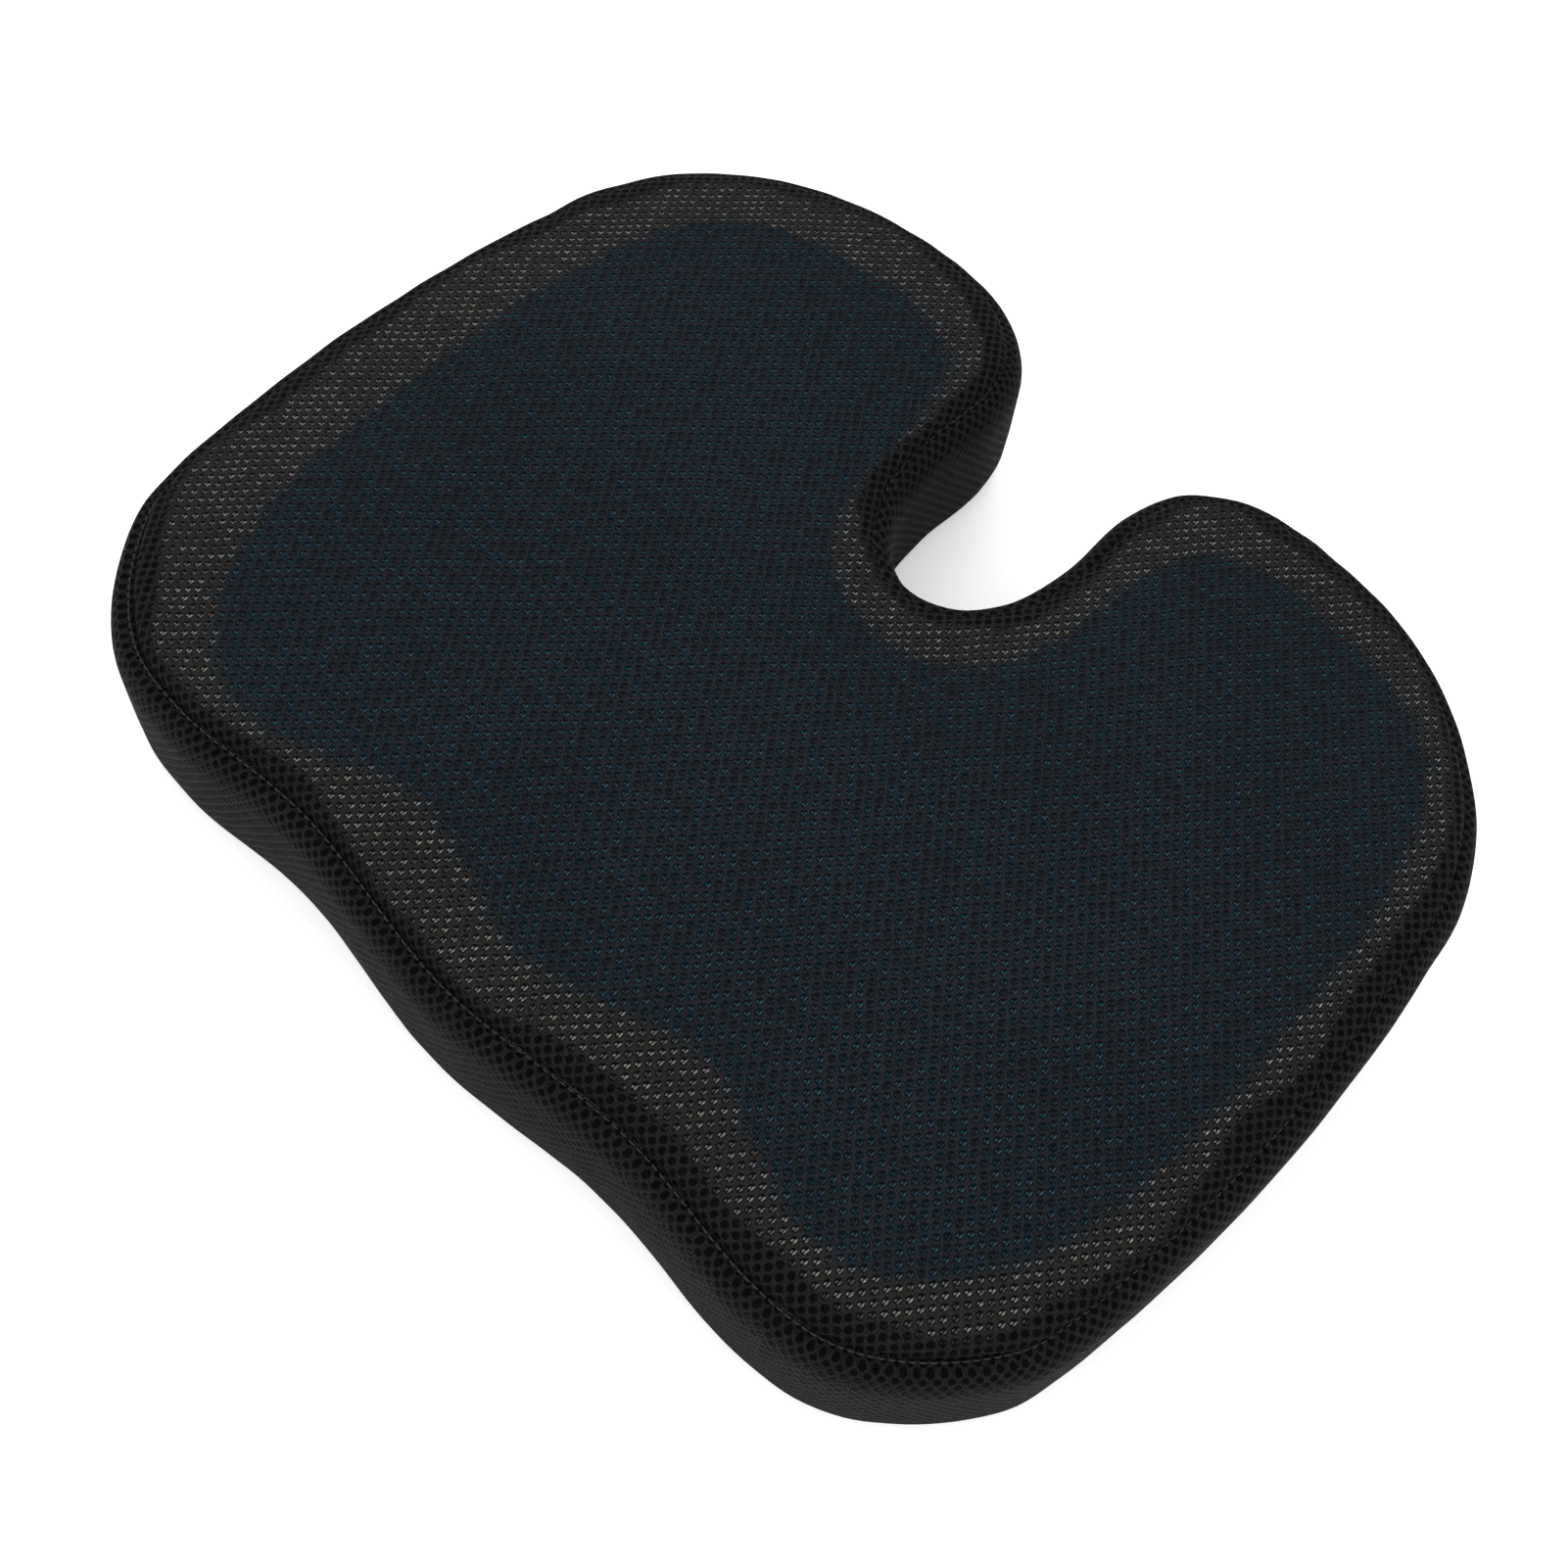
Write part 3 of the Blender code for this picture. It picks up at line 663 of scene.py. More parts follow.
def stitchShape():
    bm = bmesh.new()
    half = stitching["length"] / 2
    bmesh.ops.create_circle(bm, cap_ends=True, segments=6, radius=stitching["thick"] * 0.3,
                            matrix=Matrix.Translation((-half, 0, -stitching["arch"]))
                            @ Matrix.Rotation(math.radians(90), 4, "Y"))
    face = bm.faces[:][0]
    for place, fat, rise in stitching["growth"]:
        grown = bmesh.ops.extrude_discrete_faces(bm, faces=[face])["faces"]
        face = grown[0]
        middle = face.calc_center_median()
        bmesh.ops.scale(bm, vec=(1, fat, fat), verts=face.verts,
                        space=Matrix.Translation(-middle))
        bmesh.ops.translate(bm, verts=face.verts,
                            vec=(half * place - middle.x, 0, stitching["arch"] * rise))
    mesh = bpy.data.meshes.new("stitch")
    bmesh.ops.recalc_face_normals(bm, faces=bm.faces)
    bm.to_mesh(mesh)
    bm.free()
    return mesh


def addStitches(bm, stitch, places):
    for matrix in places:
        start = len(bm.verts)
        bm.from_mesh(stitch)
        bm.verts.ensure_lookup_table()
        bmesh.ops.transform(bm, matrix=matrix, verts=bm.verts[start:])


def frameAt(place, along, out):
    side = out.cross(along)
    matrix = Matrix((along, side, out)).transposed().to_4x4()
    matrix.translation = place
    return matrix


def seamPlaces(arc, sign, depth):
    total = travel[-1]
    steps = int(total / stitching["pitch"])
    lean = math.radians(cushion["seam"])
    places = []
    i = 0
    for k in range(steps):
        target = total * k / steps
        while travel[i + 1] < target:
            i += 1
        t = (target - travel[i]) / (travel[i + 1] - travel[i])
        j = (i + 1) % len(outline)
        p = outline[i].lerp(outline[j], t)
        n = outlineNormals[i].lerp(outlineNormals[j], t).normalized()
        inset, z = arc(cushion["seam"], depth)
        out = Vector((*(n * math.cos(lean)), sign * math.sin(lean)))
        places.append(frameAt(Vector((*(p - n * inset), z)), Vector((-n.y, n.x, 0.0)), out))
    return places


def zipFrame(degrees, height):
    angle = math.radians(degrees)
    out = Vector((-math.cos(angle), math.sin(angle), 0.0))
    along = Vector((0, 0, 1)).cross(out)
    centre = Vector((cushion["sideRadius"] - cushion["width"] / 2, cushion["sideMiddleY"], height))
    return frameAt(centre + out * cushion["sideRadius"], along, out)


def buildStitches(material):
    stitch = stitchShape()
    bm = bmesh.new()
    addStitches(bm, stitch, seamPlaces(topArc, 1, stitching["topDepth"]))
    addPiece("top_seam_stitches", bm, material, "cushion", ["top_seam_thread"])
    bm = bmesh.new()
    addStitches(bm, stitch, seamPlaces(bottomArc, -1, stitching["bottomDepth"]))
    addPiece("bottom_seam_stitches", bm, material, "cushion", ["bottom_seam_thread"])
    bm = bmesh.new()
    pitch = math.degrees(stitching["pitch"] / cushion["sideRadius"])
    low = zipShape["end"] - stitching["pastZip"]
    high = zipShape["start"] + stitching["pastZip"]
    for side in (-1, 1):
        height = zipShape["height"] + side * (zipShape["window"] / 2 + stitching["besideZip"])
        places = [zipFrame(low + k * pitch, height) for k in range(int((high - low) / pitch) + 1)]
        addStitches(bm, stitch, places)
    addPiece("zip_topstitching", bm, material, "cushion", [])


zipParts = {"depth": 0.0033, "tape": 0.0008, "tapeWidth": 0.0110, "split": 0.00006, "overrun": 1.0,
            "coilHeight": 0.0024, "coilThick": 0.0020, "coilSplit": 0.0002, "coilPitch": 0.0015,
            "wire": 0.00033, "stop": 0.0028, "stopHeight": 0.0034, "gap": 0.0003,
            "slider": (0.0112, 0.0088), "plate": 0.0016, "run": 0.0004,
            "bridge": (0.0078, 0.0020, 0.0011), "pullBar": 0.0012, "pull": (0.0230, 0.0070),
            "pullArm": 0.0013, "pullEye": 0.0046, "pullNeck": 0.003, "pullCorner": 0.002,
            "pullCut": 0.0006, "pullGrip": (0.0075, 0.0030, 0.0016), "coilIn": 0.05,
            "cover": 0.0030, "taper": 0.10, "sink": 0.0002}


def arcDegrees(length):
    return math.degrees(length / cushion["sideRadius"])


def buildTapes(material):
    for name, side in (("upper", 1), ("lower", -1)):
        bm = bmesh.new()
        start = zipShape["start"] + zipParts["overrun"]
        end = zipShape["end"] - zipParts["overrun"]
        place = zipFrame(start, zipShape["height"])
        near, far = zipParts["split"], zipParts["split"] + zipParts["tapeWidth"]
        front, back = -zipParts["depth"], -zipParts["depth"] - zipParts["tape"]
        # a woven edge cord stands a little thicker along the far edge
        section = [(near, front), (far - 0.0012, front), (far - 0.0009, front + 0.0001),
                   (far - 0.0003, front + 0.0001), (far, front - 0.0003), (far, back),
                   (near, back)]
        verts = [bm.verts.new(place @ Vector((0.0, side * y, z))) for y, z in section]
        face = bm.faces.new(verts)
        centre = Vector((cushion["sideRadius"] - cushion["width"] / 2, cushion["sideMiddleY"], 0))
        bmesh.ops.spin(bm, geom=[face, *face.edges, *face.verts], cent=centre, axis=(0, 0, 1),
                       angle=math.radians(start - end), steps=60)
        bmesh.ops.recalc_face_normals(bm, faces=bm.faces)
        addPiece("zip_tape_woven_" + name, bm, material, "cushion", ["zip_tape_" + name],
                 30)


def buildCoils(material):
    room = arcDegrees(2 * zipParts["gap"] + zipParts["stop"])
    room += zipParts["coilIn"]
    start, end = zipShape["start"] - room, zipShape["end"] + room
    turns = int(math.radians(start - end) * cushion["sideRadius"] / zipParts["coilPitch"])
    sides = 10
    wire = zipParts["wire"]
    for name, side in (("upper", 1), ("lower", -1)):
        curve = bpy.data.curves.new("coil", "CURVE")
        curve.dimensions = "3D"
        curve.bevel_depth = wire
        curve.bevel_resolution = 1
        curve.use_fill_caps = True
        spline = curve.splines.new("POLY")
        spline.points.add(turns * sides)
        for k in range(turns * sides + 1):
            turn = 2 * math.pi * k / sides
            place = zipFrame(start + (end - start) * k / (turns * sides), zipShape["height"])
            y = zipParts["coilSplit"] + zipParts["coilHeight"] / 2 + (
                zipParts["coilHeight"] / 2 - wire) * math.cos(turn)
            z = -zipParts["depth"] + zipParts["gap"] + zipParts["coilThick"] / 2 + (
                zipParts["coilThick"] / 2 - wire) * math.sin(turn)
            spline.points[k].co = (*(place @ Vector((0.0, side * y, z))), 1.0)
        holder = bpy.data.objects.new("coil", curve)
        bpy.context.collection.objects.link(holder)
        mesh = bpy.data.meshes.new_from_object(holder.evaluated_get(
            bpy.context.evaluated_depsgraph_get()))
        bpy.data.objects.remove(holder)
        bm = bmesh.new()
        bm.from_mesh(mesh)
        bmesh.ops.recalc_face_normals(bm, faces=bm.faces)
        addPiece("zip_coil_spiral_" + name, bm, material, "cushion", ["zip_coil_" + name],
                 60)


def polygonBody(loops, low, high, axis, bevel):
    bm = bmesh.new()
    edges = []
    for loop in loops:
        places = []
        for a, b in loop:
            place = [a, b]
            place.insert(axis, low)
            places.append(place)
        edges += wireLoop(bm, places)[1]
    fillBetween(bm, edges)
    bmesh.ops.recalc_face_normals(bm, faces=bm.faces)
    grown = bmesh.ops.extrude_face_region(bm, geom=bm.faces[:])
    shift = Vector((0, 0, 0))
    shift[axis] = high - low
    bmesh.ops.translate(bm, vec=shift,
                        verts=[g for g in grown["geom"] if isinstance(g, bmesh.types.BMVert)])
    bmesh.ops.recalc_face_normals(bm, faces=bm.faces)
    bmesh.ops.dissolve_limit(bm, angle_limit=math.radians(1), verts=bm.verts, edges=bm.edges)
    sharp = [e for e in bm.edges if e.is_manifold and e.calc_face_angle() > math.radians(50)]
    bmesh.ops.bevel(bm, geom=sharp, offset=bevel, segments=2, profile=0.5, affect="EDGES",
                    material=-1, clamp_overlap=True)
    return bm


def buildStops(material):
    face = -zipParts["depth"] + zipParts["gap"]
    front = face + zipParts["coilThick"] + zipParts["gap"]
    span = arcDegrees(zipParts["stop"]) / 2
    room = arcDegrees(zipParts["gap"])
    half = zipParts["stop"] / 2
    tall, near = zipParts["stopHeight"], zipParts["coilSplit"]
    closed, opened = zipShape["start"] - room - span, zipShape["end"] + room + span
    spots = [("zip_top_stop_crimp_upper", "zip_top_stop_upper", 1, closed),
             ("zip_top_stop_crimp_lower", "zip_top_stop_lower", -1, closed),
             ("zip_bottom_stop_crimp", "zip_bottom_stop", 0, opened)]
    for name, node, side, angle in spots:
        low, high = sorted((side * near, side * (near + tall))) if side else (-tall, tall)
        bm = polygonBody([[(-half, low), (half, low), (half, high), (-half, high)]],
                         face, front, 2, 0.0004)
        bmesh.ops.transform(bm, matrix=zipFrame(angle, zipShape["height"]), verts=bm.verts)
        addPiece(name, bm, material, "cushion", [node], 50)


def sliderRest():
    return zipShape["start"] - arcDegrees(zipParts["gap"] * 3 + zipParts["stop"]
                                          + zipParts["slider"][0] / 2)


def sliderLevels():
    under = -zipParts["cover"] + zipParts["coilThick"] + zipParts["run"]
    top = under + zipParts["plate"]
    return under, top, top + zipParts["pullBar"] * 0.5 * math.sqrt(2) + zipParts["gap"]


def buildSlider(material):
    under, top, middle = sliderLevels()
    tip = -zipParts["cover"] + zipParts["gap"]
    length, width = zipParts["slider"]
    half = width / 2
    hold = zipParts["coilSplit"] + zipParts["coilHeight"] + zipParts["run"]
    shell = [(-half, tip), (-half, top), (half, top), (half, tip), (hold, tip), (hold, under),
             (-hold, under), (-hold, tip)]
    bm = polygonBody([shell], -length / 2, length / 2, 0, 0.00035)
    for k in range(-4, 5):
        bmesh.ops.bisect_plane(bm, geom=[*bm.faces, *bm.edges, *bm.verts], dist=1e-7,
                               plane_co=(k * length / 10, 0, 0), plane_no=(1, 0, 0))
    for v in bm.verts:                          # narrower towards the closed end
        if abs(v.co.y) > hold + 0.0004:
            v.co.y *= 1 - zipParts["taper"] * smoothStep(0.001, -length / 2, v.co.x)
    span, deep, thick = zipParts["bridge"][0] / 2, zipParts["bridge"][1], zipParts["bridge"][2]
    inside = span - thick
    roof = 2 * middle - top
    foot = top - zipParts["sink"]
    arch = [(-span, foot), (-span, roof), (-inside, roof + thick), (inside, roof + thick),
            (span, roof), (span, foot), (inside, foot), (inside, roof), (-inside, roof),
            (-inside, foot)]
    bridge = polygonBody([arch], -deep / 2, deep / 2, 1, 0.0003)
    holder = bpy.data.meshes.new("bridge")
    bridge.to_mesh(holder)
    bridge.free()
    bm.from_mesh(holder)
    bmesh.ops.transform(bm, matrix=zipFrame(sliderRest(), zipShape["height"]), verts=bm.verts)
    addPiece("zip_slider_body", bm, material, "slider", ["zip_slider"], 50)


def buildPull(material):
    middle = sliderLevels()[2]
    bar, (length, width) = zipParts["pullBar"], zipParts["pull"]
    eye = zipParts["bridge"][1] / 2 + zipParts["run"]
    arm = eye + zipParts["pullArm"]
    half, reach = width / 2, zipParts["pullEye"]
    start = -bar / 2
    neck, corner, cut = reach + zipParts["pullNeck"], zipParts["pullCorner"], zipParts["pullCut"]
    outer = [(start, -arm), (reach, -arm), (neck, -half), (length - corner, -half),
             (length - cut, -half + cut), (length, -half + corner), (length, half - corner),
             (length - cut, half - cut), (length - corner, half), (neck, half),
             (reach, arm), (start, arm)]
    hole = [(bar / 2, -eye), (reach, -eye), (reach, eye), (bar / 2, eye)]
    far, near, side = zipParts["pullGrip"]
    grip = [(length - far, -side), (length - near, -side), (length - near, side),
            (length - far, side)]
    bm = polygonBody([outer, hole, grip], middle - bar / 2, middle + bar / 2, 2, 0.00025)
    bmesh.ops.transform(bm, matrix=zipFrame(sliderRest(), zipShape["height"]), verts=bm.verts)
    addPiece("zip_pull_tab_cast", bm, material, "pull_tab", ["zip_pull_tab"], 50)


# Black polyester spacer mesh: a matt knit with staggered round holes, painted rather than cut.
# Each hole is painted dark as the shade inside it, with a few painted glints where light falls on
# the layer below it, tinted by the foam or the blue gel behind.
knit = {
    "pitch": (0.0043, 0.0054), "hole": (0.00120, 0.00138),
    # each painted glint's middle and half size: a tall one, and a short one to its left
    "glints": (((0.00048, 0.00012), (0.00036, 0.00105)),
               ((-0.00042, -0.00036), (0.00030, 0.00056))),
    "speck": 0.0007,
    # Over the foam and the gel the yarn takes a little of their colour. Over the air gap by the
    # seams, about the bridge width, the yarn is darker: painted shade. The hole colours are
    # painted shade, and the pale and blue spot colours are painted glints.
    "yarnShadedGap": "161617", "yarnFoam": "1d1d1c", "yarnGel": "16191d",
    "holeShadeGap": "050506", "holeShadeGel": "060a0d",
    "glintFoamPainted": "82817d", "glintGelPainted": "2e4a57",
    "bridge": 0.0070, "bridgeVary": 0.011,
    "roughness": 0.72, "relief": 0.0008, "grain": 0.0008, "honeycomb": 0.014,
}


def mix(tree, factor, a, b, kind="RGBA"):
    ports = {"RGBA": (6, 7, 2), "VECTOR": (4, 5, 1), "FLOAT": (2, 3, 0)}[kind]
    node = addNode(tree, "ShaderNodeMix", {0: factor, ports[0]: a, ports[1]: b}, data_type=kind)
    return node.outputs[ports[2]]


def sums(tree, operation, a, b=0.0, c=0.0):
    return addNode(tree, "ShaderNodeMath", {0: a, 1: b, 2: c}, operation=operation).outputs[0]


def vectors(tree, operation, a, b=(0, 0, 0)):
    node = addNode(tree, "ShaderNodeVectorMath", {0: a, 1: b}, operation=operation)
    return node.outputs["Value" if operation == "LENGTH" else "Vector"]


def ramp(tree, value, low, high, start=0.0, end=1.0):
    return addNode(tree, "ShaderNodeMapRange", {0: value, 1: low, 2: high, 3: start, 4: end},
                   interpolation_type="SMOOTHSTEP").outputs[0]


def lattice(tree, coords, pitch):
    cell = vectors(tree, "DIVIDE", coords, (*pitch, 1.0))
    spots = []
    for shift in (0.0, 0.5):
        moved = vectors(tree, "ADD", cell, (shift, shift, 0.0))
        centred = vectors(tree, "SUBTRACT", vectors(tree, "FRACTION", moved), (0.5, 0.5, 0.0))
        local = vectors(tree, "MULTIPLY", centred, (*pitch, 0.0))
        label = vectors(tree, "ADD", vectors(tree, "FLOOR", moved), (shift * 77, 0.0, 0.0))
        spots.append((local, label, vectors(tree, "LENGTH", local)))
    nearer = sums(tree, "LESS_THAN", spots[1][2], spots[0][2])
    local = mix(tree, nearer, spots[0][0], spots[1][0], "VECTOR")
    label = mix(tree, nearer, spots[0][1], spots[1][1], "VECTOR")
    return local, label


def makeSpacerMesh(name, foamLitShare):
    material, tree, shader = newMaterial(name)
    fabric = addNode(tree, "ShaderNodeAttribute", attribute_name="fabric").outputs["Vector"]
    wobble = addNode(tree, "ShaderNodeTexNoise", {"Vector": fabric, "Scale": 90.0, "Detail": 1.0})
    drift = vectors(tree, "MULTIPLY", vectors(tree, "SUBTRACT", wobble.outputs["Color"],
                                              (0.5, 0.5, 0.5)), (0.0012, 0.0012, 0.0))
    coords = vectors(tree, "ADD", fabric, drift)
    local, label = lattice(tree, coords, knit["pitch"])
    size = vectors(tree, "LENGTH", vectors(tree, "DIVIDE", local, (*knit["hole"], 1.0)))
    hole = ramp(tree, size, 0.80, 1.10, 1.0, 0.0)
    luck = addNode(tree, "ShaderNodeTexWhiteNoise", {"Vector": label},
                   noise_dimensions="3D").outputs["Value"]
    dots = None
    for place, reach in knit["glints"]:
        away = vectors(tree, "SUBTRACT", local, (*place, 0.0))
        away = vectors(tree, "LENGTH", vectors(tree, "DIVIDE", away, (*reach, 1.0)))
        glint = ramp(tree, away, 0.45, 1.25, 1.0, 0.0)
        dots = glint if dots is None else sums(tree, "MAXIMUM", dots, glint)
    speck = addNode(tree, "ShaderNodeTexNoise",
                    {"Vector": coords, "Scale": 1 / knit["speck"], "Detail": 1.0}).outputs["Fac"]
    dots = sums(tree, "MULTIPLY", dots, ramp(tree, speck, 0.34, 0.60, 0.25, 1.0))
    gelDepth = addNode(tree, "ShaderNodeAttribute", attribute_name="gelDepth").outputs["Fac"]
    edgeDrift = addNode(tree, "ShaderNodeTexNoise",
                        {"Vector": fabric, "Scale": 120.0, "Detail": 2.0}).outputs["Fac"]
    edge = sums(tree, "MULTIPLY_ADD", sums(tree, "SUBTRACT", edgeDrift, 0.5), 0.006, gelDepth)
    overGel = ramp(tree, edge, -0.0026, 0.0026)
    # The mesh shows the lit foam only where it lies on it, past the bridge by the seams. Elsewhere
    # yarn and holes take darker colours and no glints: painted shade of the air gap.
    seamDistance = addNode(tree, "ShaderNodeAttribute",
                           attribute_name="seamDistance").outputs["Fac"]
    patch = addNode(tree, "ShaderNodeTexNoise", {"Vector": fabric, "Scale": 16.0, "Detail": 1.0})
    limit = sums(tree, "MULTIPLY_ADD", patch.outputs["Fac"], knit["bridgeVary"] * 2,
                 knit["bridge"] - knit["bridgeVary"])
    past = sums(tree, "SUBTRACT", seamDistance, limit)
    touchingLit = sums(tree, "MULTIPLY", ramp(tree, past, -0.001, 0.0035), foamLitShare)
    yarn = mix(tree, overGel, hexColour(knit["yarnFoam"]), hexColour(knit["yarnGel"]))
    yarn = mix(tree, touchingLit, hexColour(knit["yarnShadedGap"]), yarn)
    grain = addNode(tree, "ShaderNodeTexNoise",
                    {"Vector": coords, "Scale": 1 / knit["grain"], "Detail": 2.0}).outputs["Fac"]
    cloud = addNode(tree, "ShaderNodeTexNoise",
                    {"Vector": fabric, "Scale": 11.0, "Detail": 3.0}).outputs["Fac"]
    ringAt = lattice(tree, fabric, (knit["honeycomb"], knit["honeycomb"] * math.sqrt(3)))[0]
    ring = ramp(tree, vectors(tree, "LENGTH", ringAt), knit["honeycomb"] * 0.34,
                knit["honeycomb"] * 0.5)
    ringTone = sums(tree, "MULTIPLY", sums(tree, "SUBTRACT", ring, 0.4),
                    sums(tree, "MULTIPLY", overGel, 0.16))
    tone = sums(tree, "ADD", ramp(tree, grain, 0.25, 0.75, 0.45, 1.55), ringTone)
    tone = sums(tree, "MULTIPLY", tone, ramp(tree, cloud, 0.3, 0.7, 0.9, 1.1))
    toned = addNode(tree, "ShaderNodeVectorMath", {0: yarn}, operation="SCALE")
    tree.links.new(tone, toned.inputs["Scale"])
    # The holes are painted dark as the shade inside them, tinted blue over the gel where the mesh
    # lies on it.
    paintedHoleShade = mix(tree, sums(tree, "MULTIPLY", overGel, touchingLit), hexColour(knit["holeShadeGap"]),
              hexColour(knit["holeShadeGel"]))
    colour = mix(tree, hole, toned.outputs["Vector"], paintedHoleShade)
    # Painted glints: light falling on the foam or gel seen through each hole, only where the mesh
    # lies on the foam.
    glint = mix(tree, overGel, hexColour(knit["glintFoamPainted"]), hexColour(knit["glintGelPainted"]))
    amount = sums(tree, "MULTIPLY", dots, ramp(tree, luck, 0.0, 1.0, 0.25, 1.0))
    amount = sums(tree, "MULTIPLY", amount, touchingLit)
    colour = mix(tree, amount, colour, glint)
    tree.links.new(colour, shader.inputs["Base Color"])
    height = sums(tree, "MULTIPLY_ADD", grain, 0.25, sums(tree, "SUBTRACT", 1.0, hole))
    height = sums(tree, "MULTIPLY_ADD", amount, 0.4, height)
    bump = addNode(tree, "ShaderNodeBump", {"Strength": 0.8, "Distance": knit["relief"],
                                            "Height": height})
    tree.links.new(bump.outputs["Normal"], shader.inputs["Normal"])
    rough = mix(tree, hole, knit["roughness"], 0.95, "FLOAT")
    tree.links.new(rough, shader.inputs["Roughness"])
    shader.inputs["Specular IOR Level"].default_value = 0.04
    return material


# Black non-slip polyester with raised silicone dots 5 mm apart, which catch small highlights.
gripFinish = {"fabric": "141416", "dot": "1f1f21", "pitch": 0.005, "dotSize": 0.0011}


def makeGripFabric():
    material, tree, shader = newMaterial("black_grip_polyester")
    fabric = addNode(tree, "ShaderNodeAttribute", attribute_name="fabric").outputs["Vector"]
    local = lattice(tree, fabric, (gripFinish["pitch"], gripFinish["pitch"]))[0]
    dot = ramp(tree, vectors(tree, "LENGTH", local), gripFinish["dotSize"] * 0.7,
               gripFinish["dotSize"] * 1.1, 1.0, 0.0)
    weave = addNode(tree, "ShaderNodeTexNoise", {"Vector": fabric, "Scale": 1500.0, "Detail": 2.0})
    colour = mix(tree, dot, hexColour(gripFinish["fabric"]), hexColour(gripFinish["dot"]))
    tree.links.new(colour, shader.inputs["Base Color"])
    tree.links.new(mix(tree, dot, 0.85, 0.38, "FLOAT"), shader.inputs["Roughness"])
    height = sums(tree, "MULTIPLY_ADD", weave.outputs["Fac"], 0.3, dot)
    bump = addNode(tree, "ShaderNodeBump", {"Strength": 0.7, "Distance": 0.0006, "Height": height})
    tree.links.new(bump.outputs["Normal"], shader.inputs["Normal"])
    return material


# A finish of one colour with a fine unevenness in its tone, gloss and surface.
def makePlain(name, colour, roughness, scale, relief, metallic=0.0, contrast=0.25):
    material, tree, shader = newMaterial(name)
    place = addNode(tree, "ShaderNodeTexCoord").outputs["Object"]
    fine = addNode(tree, "ShaderNodeTexNoise", {"Vector": place, "Scale": scale, "Detail": 3.0})
    tone = ramp(tree, fine.outputs["Fac"], 0.3, 0.7, 1 - contrast, 1 + contrast)
    toned = addNode(tree, "ShaderNodeVectorMath", {0: hexColour(colour)[:3]}, operation="SCALE")
    tree.links.new(tone, toned.inputs["Scale"])
    tree.links.new(toned.outputs["Vector"], shader.inputs["Base Color"])
    rough = ramp(tree, fine.outputs["Fac"], 0.3, 0.7, roughness - 0.07, roughness + 0.07)
    tree.links.new(rough, shader.inputs["Roughness"])
    bump = addNode(tree, "ShaderNodeBump", {"Strength": 0.5, "Distance": relief,
                                            "Height": fine.outputs["Fac"]})
    tree.links.new(bump.outputs["Normal"], shader.inputs["Normal"])
    shader.inputs["Metallic"].default_value = metallic
    return material


meshOverFoam = makeSpacerMesh("black_spacer_mesh", 1.0)
# On the bands the mesh takes mostly the darker colours of the air gap and few glints: painted
# shade on the side walls.
meshOnBand = makeSpacerMesh("black_spacer_mesh_band", 0.15)
gripFabric = makeGripFabric()
print("cover materials made")

buildTopPanel(meshOverFoam)
print("top panel built")
buildBand("cover_front", leftJoin - len(outline), rightJoin, "cover_front_band", meshOnBand)
buildBand("cover_right", rightJoin, notchJoin, "cover_right_band", meshOnBand)
buildBand("cover_left", notchJoin, leftJoin, "cover_left_band", meshOnBand)
buildBottom(gripFabric)
print("bands and bottom built")

# Cut memory foam: pale beige and quite matt, with fine open cells.
foam = makePlain("beige_memory_foam", "cdbf9f", 0.92, 900.0, 0.0006, contrast=0.12)
# Set gel: deep blue with a soft, slightly wavy shine.
gel = makePlain("blue_gel", "123c5c", 0.30, 60.0, 0.0002, contrast=0.10)
# Spun polyester thread: matt black with a fine twist.
thread = makePlain("black_polyester_thread", "101011", 0.75, 2400.0, 0.0002)
# Woven zip tape: flat black with a dense dry weave.
tape = makePlain("black_polyester_tape", "141415", 0.80, 1600.0, 0.0003)
# Nylon coil: black wire with a dull plastic gleam.
nylon = makePlain("black_nylon_coil", "0f0f10", 0.42, 700.0, 0.0001)
# Enamelled zinc: glossy black that shows crisp highlights along its rounded edges.
enamel = makePlain("black_enamelled_zinc", "0d0d0e", 0.30, 900.0, 0.0001)
buildFoam(foam)
buildGel(gel)
print("foam and gel built")
buildStitches(thread)
buildTapes(tape)
buildCoils(nylon)
buildStops(enamel)
buildSlider(enamel)
buildPull(enamel)
print("stitching and zip built")


shot = {"lens": 47.45, "elevation": 62.20, "azimuth": 36.60, "roll": 8.81, "distance": 0.7615,
        "target": (0.0040, -0.0121, 0.0)}


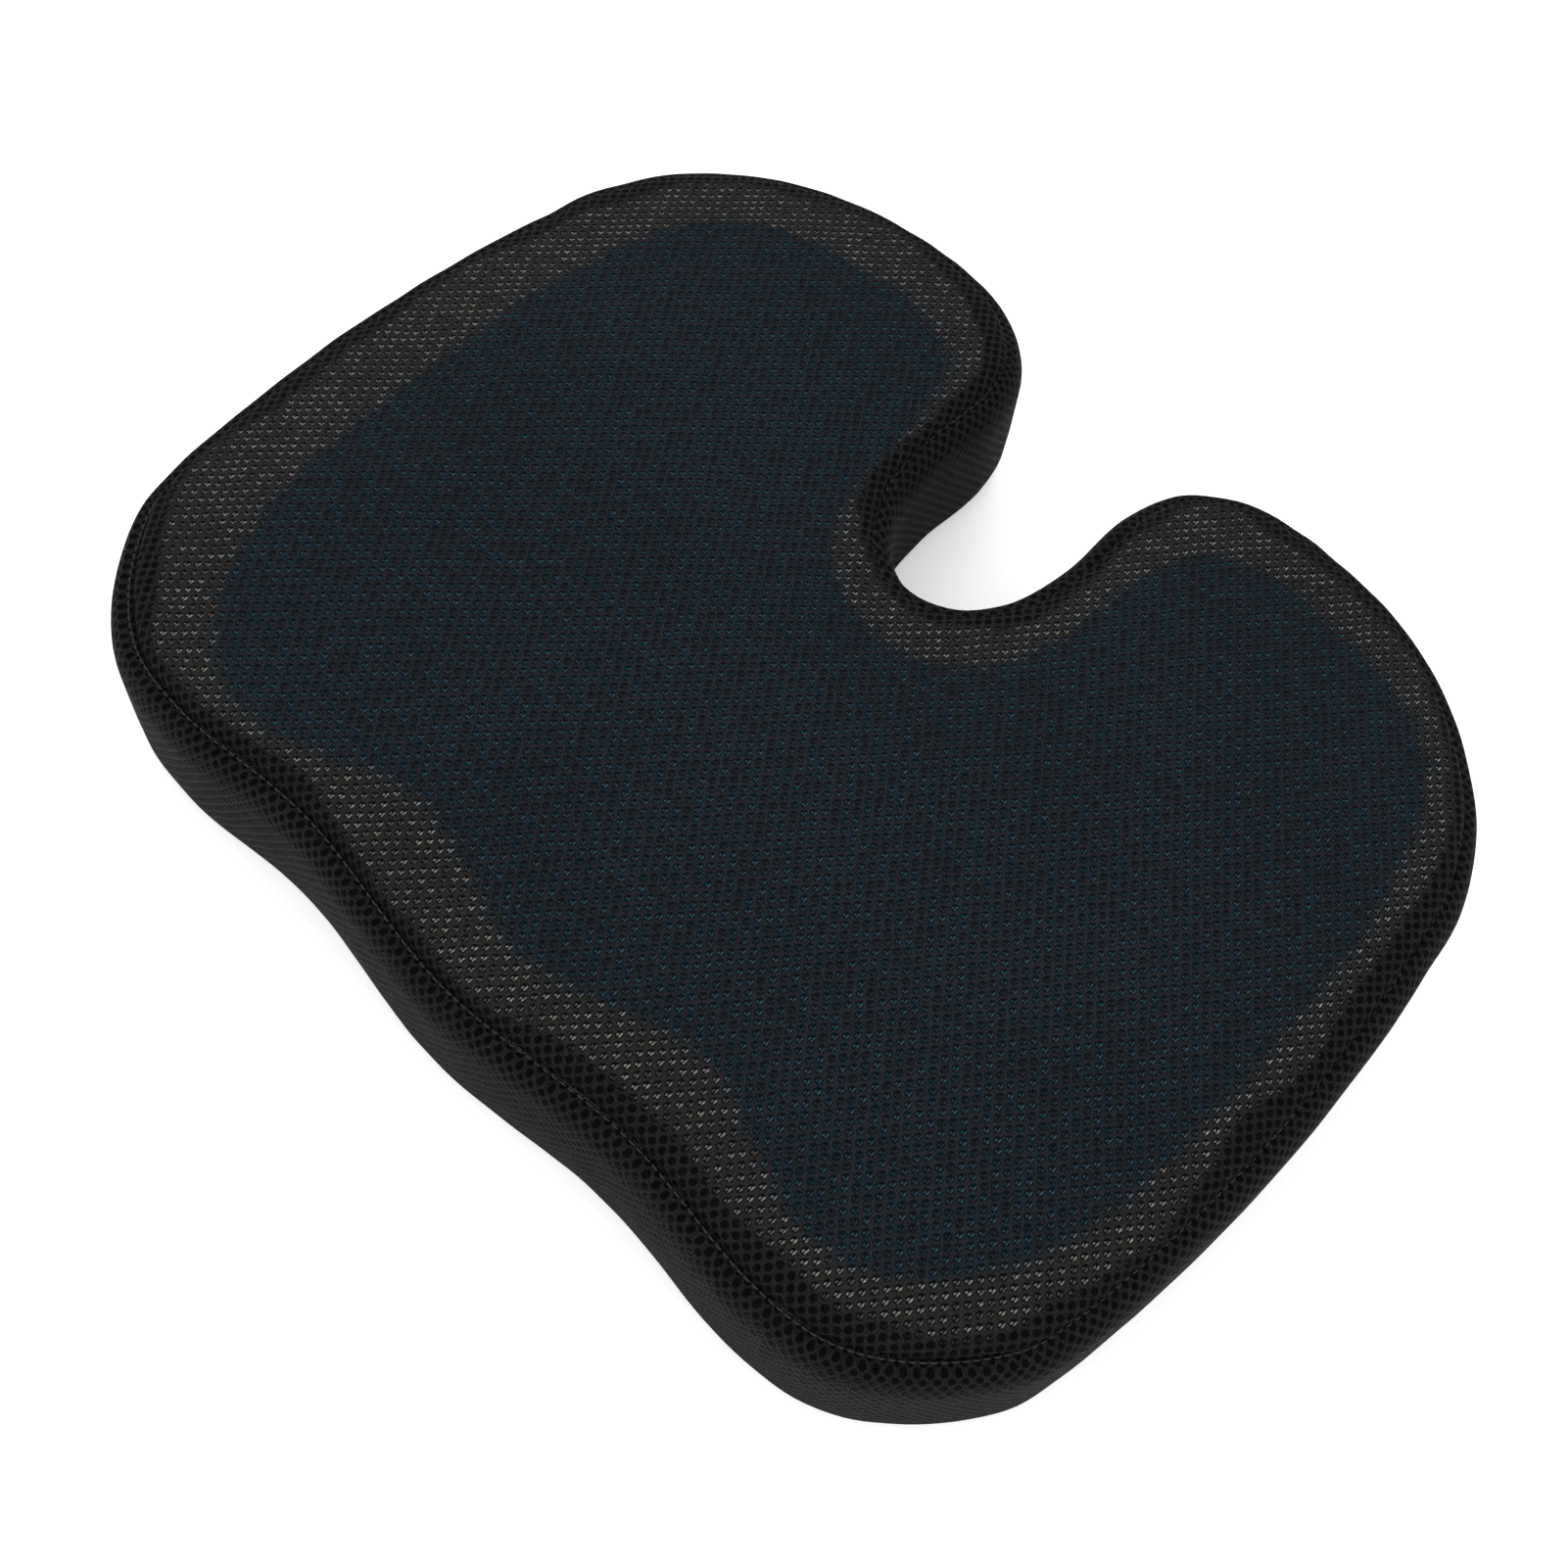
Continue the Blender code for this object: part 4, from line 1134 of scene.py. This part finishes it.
def placeCamera():
    tilt, turn, roll = (math.radians(shot[k]) for k in ("elevation", "azimuth", "roll"))
    back = Vector((math.sin(turn) * math.cos(tilt), -math.cos(turn) * math.cos(tilt),
                   math.sin(tilt)))
    right = Vector((math.cos(turn), math.sin(turn), 0.0))
    up = back.cross(right)
    across = right * math.cos(roll) + up * math.sin(roll)
    upward = up * math.cos(roll) - right * math.sin(roll)
    matrix = Matrix((across, upward, back)).transposed().to_4x4()
    matrix.translation = Vector(shot["target"]) + back * shot["distance"]
    data = bpy.data.cameras.new("camera")
    data.sensor_width = 36.0
    data.lens = shot["lens"]
    data.clip_start = 0.01
    camera = bpy.data.objects.new("camera", data)
    bpy.context.collection.objects.link(camera)
    camera.matrix_world = matrix
    bpy.context.scene.camera = camera


studio = {"floor": "f4f4f4", "world": 1.0, "glow": 0.30,
          "lamps": (((-0.9, 0.9, 1.7), 1.6, 20.0), ((1.3, -0.9, 1.5), 1.6, 13.0),
                    ((-0.4, -1.4, 1.0), 1.2, 4.0))}


def lightStudio():
    bm = bmesh.new()
    bmesh.ops.create_grid(bm, x_segments=1, y_segments=1, size=6.0)
    bmesh.ops.translate(bm, verts=bm.verts, vec=(0, 0, -0.0002))
    mesh = bpy.data.meshes.new("floor")
    bm.to_mesh(mesh)
    bm.free()
    floor = bpy.data.objects.new("floor", mesh)
    bpy.context.collection.objects.link(floor)
    material, tree, shader = newMaterial("white_sweep")
    shader.inputs["Base Color"].default_value = hexColour(studio["floor"])
    shader.inputs["Roughness"].default_value = 0.9
    shader.inputs["Specular IOR Level"].default_value = 0.0
    shader.inputs["Emission Color"].default_value = (1, 1, 1, 1)
    shader.inputs["Emission Strength"].default_value = studio["glow"]
    mesh.materials.append(material)
    for k, (place, size, power) in enumerate(studio["lamps"]):
        data = bpy.data.lights.new(f"softbox_{k}", "AREA")
        data.size = size
        data.energy = power
        lamp = bpy.data.objects.new(f"softbox_{k}", data)
        bpy.context.collection.objects.link(lamp)
        lamp.matrix_world = (Matrix.Translation(place)
                             @ Vector(place).to_track_quat("Z", "Y").to_matrix().to_4x4())
    world = bpy.data.worlds.new("world")
    world.use_nodes = True
    sky = world.node_tree.nodes["Background"]
    sky.inputs["Color"].default_value = (1, 1, 1, 1)
    sky.inputs["Strength"].default_value = studio["world"]
    bpy.context.scene.world = world
    bpy.context.scene.view_settings.view_transform = "Standard"


placeCamera()
lightStudio()
print("studio ready")
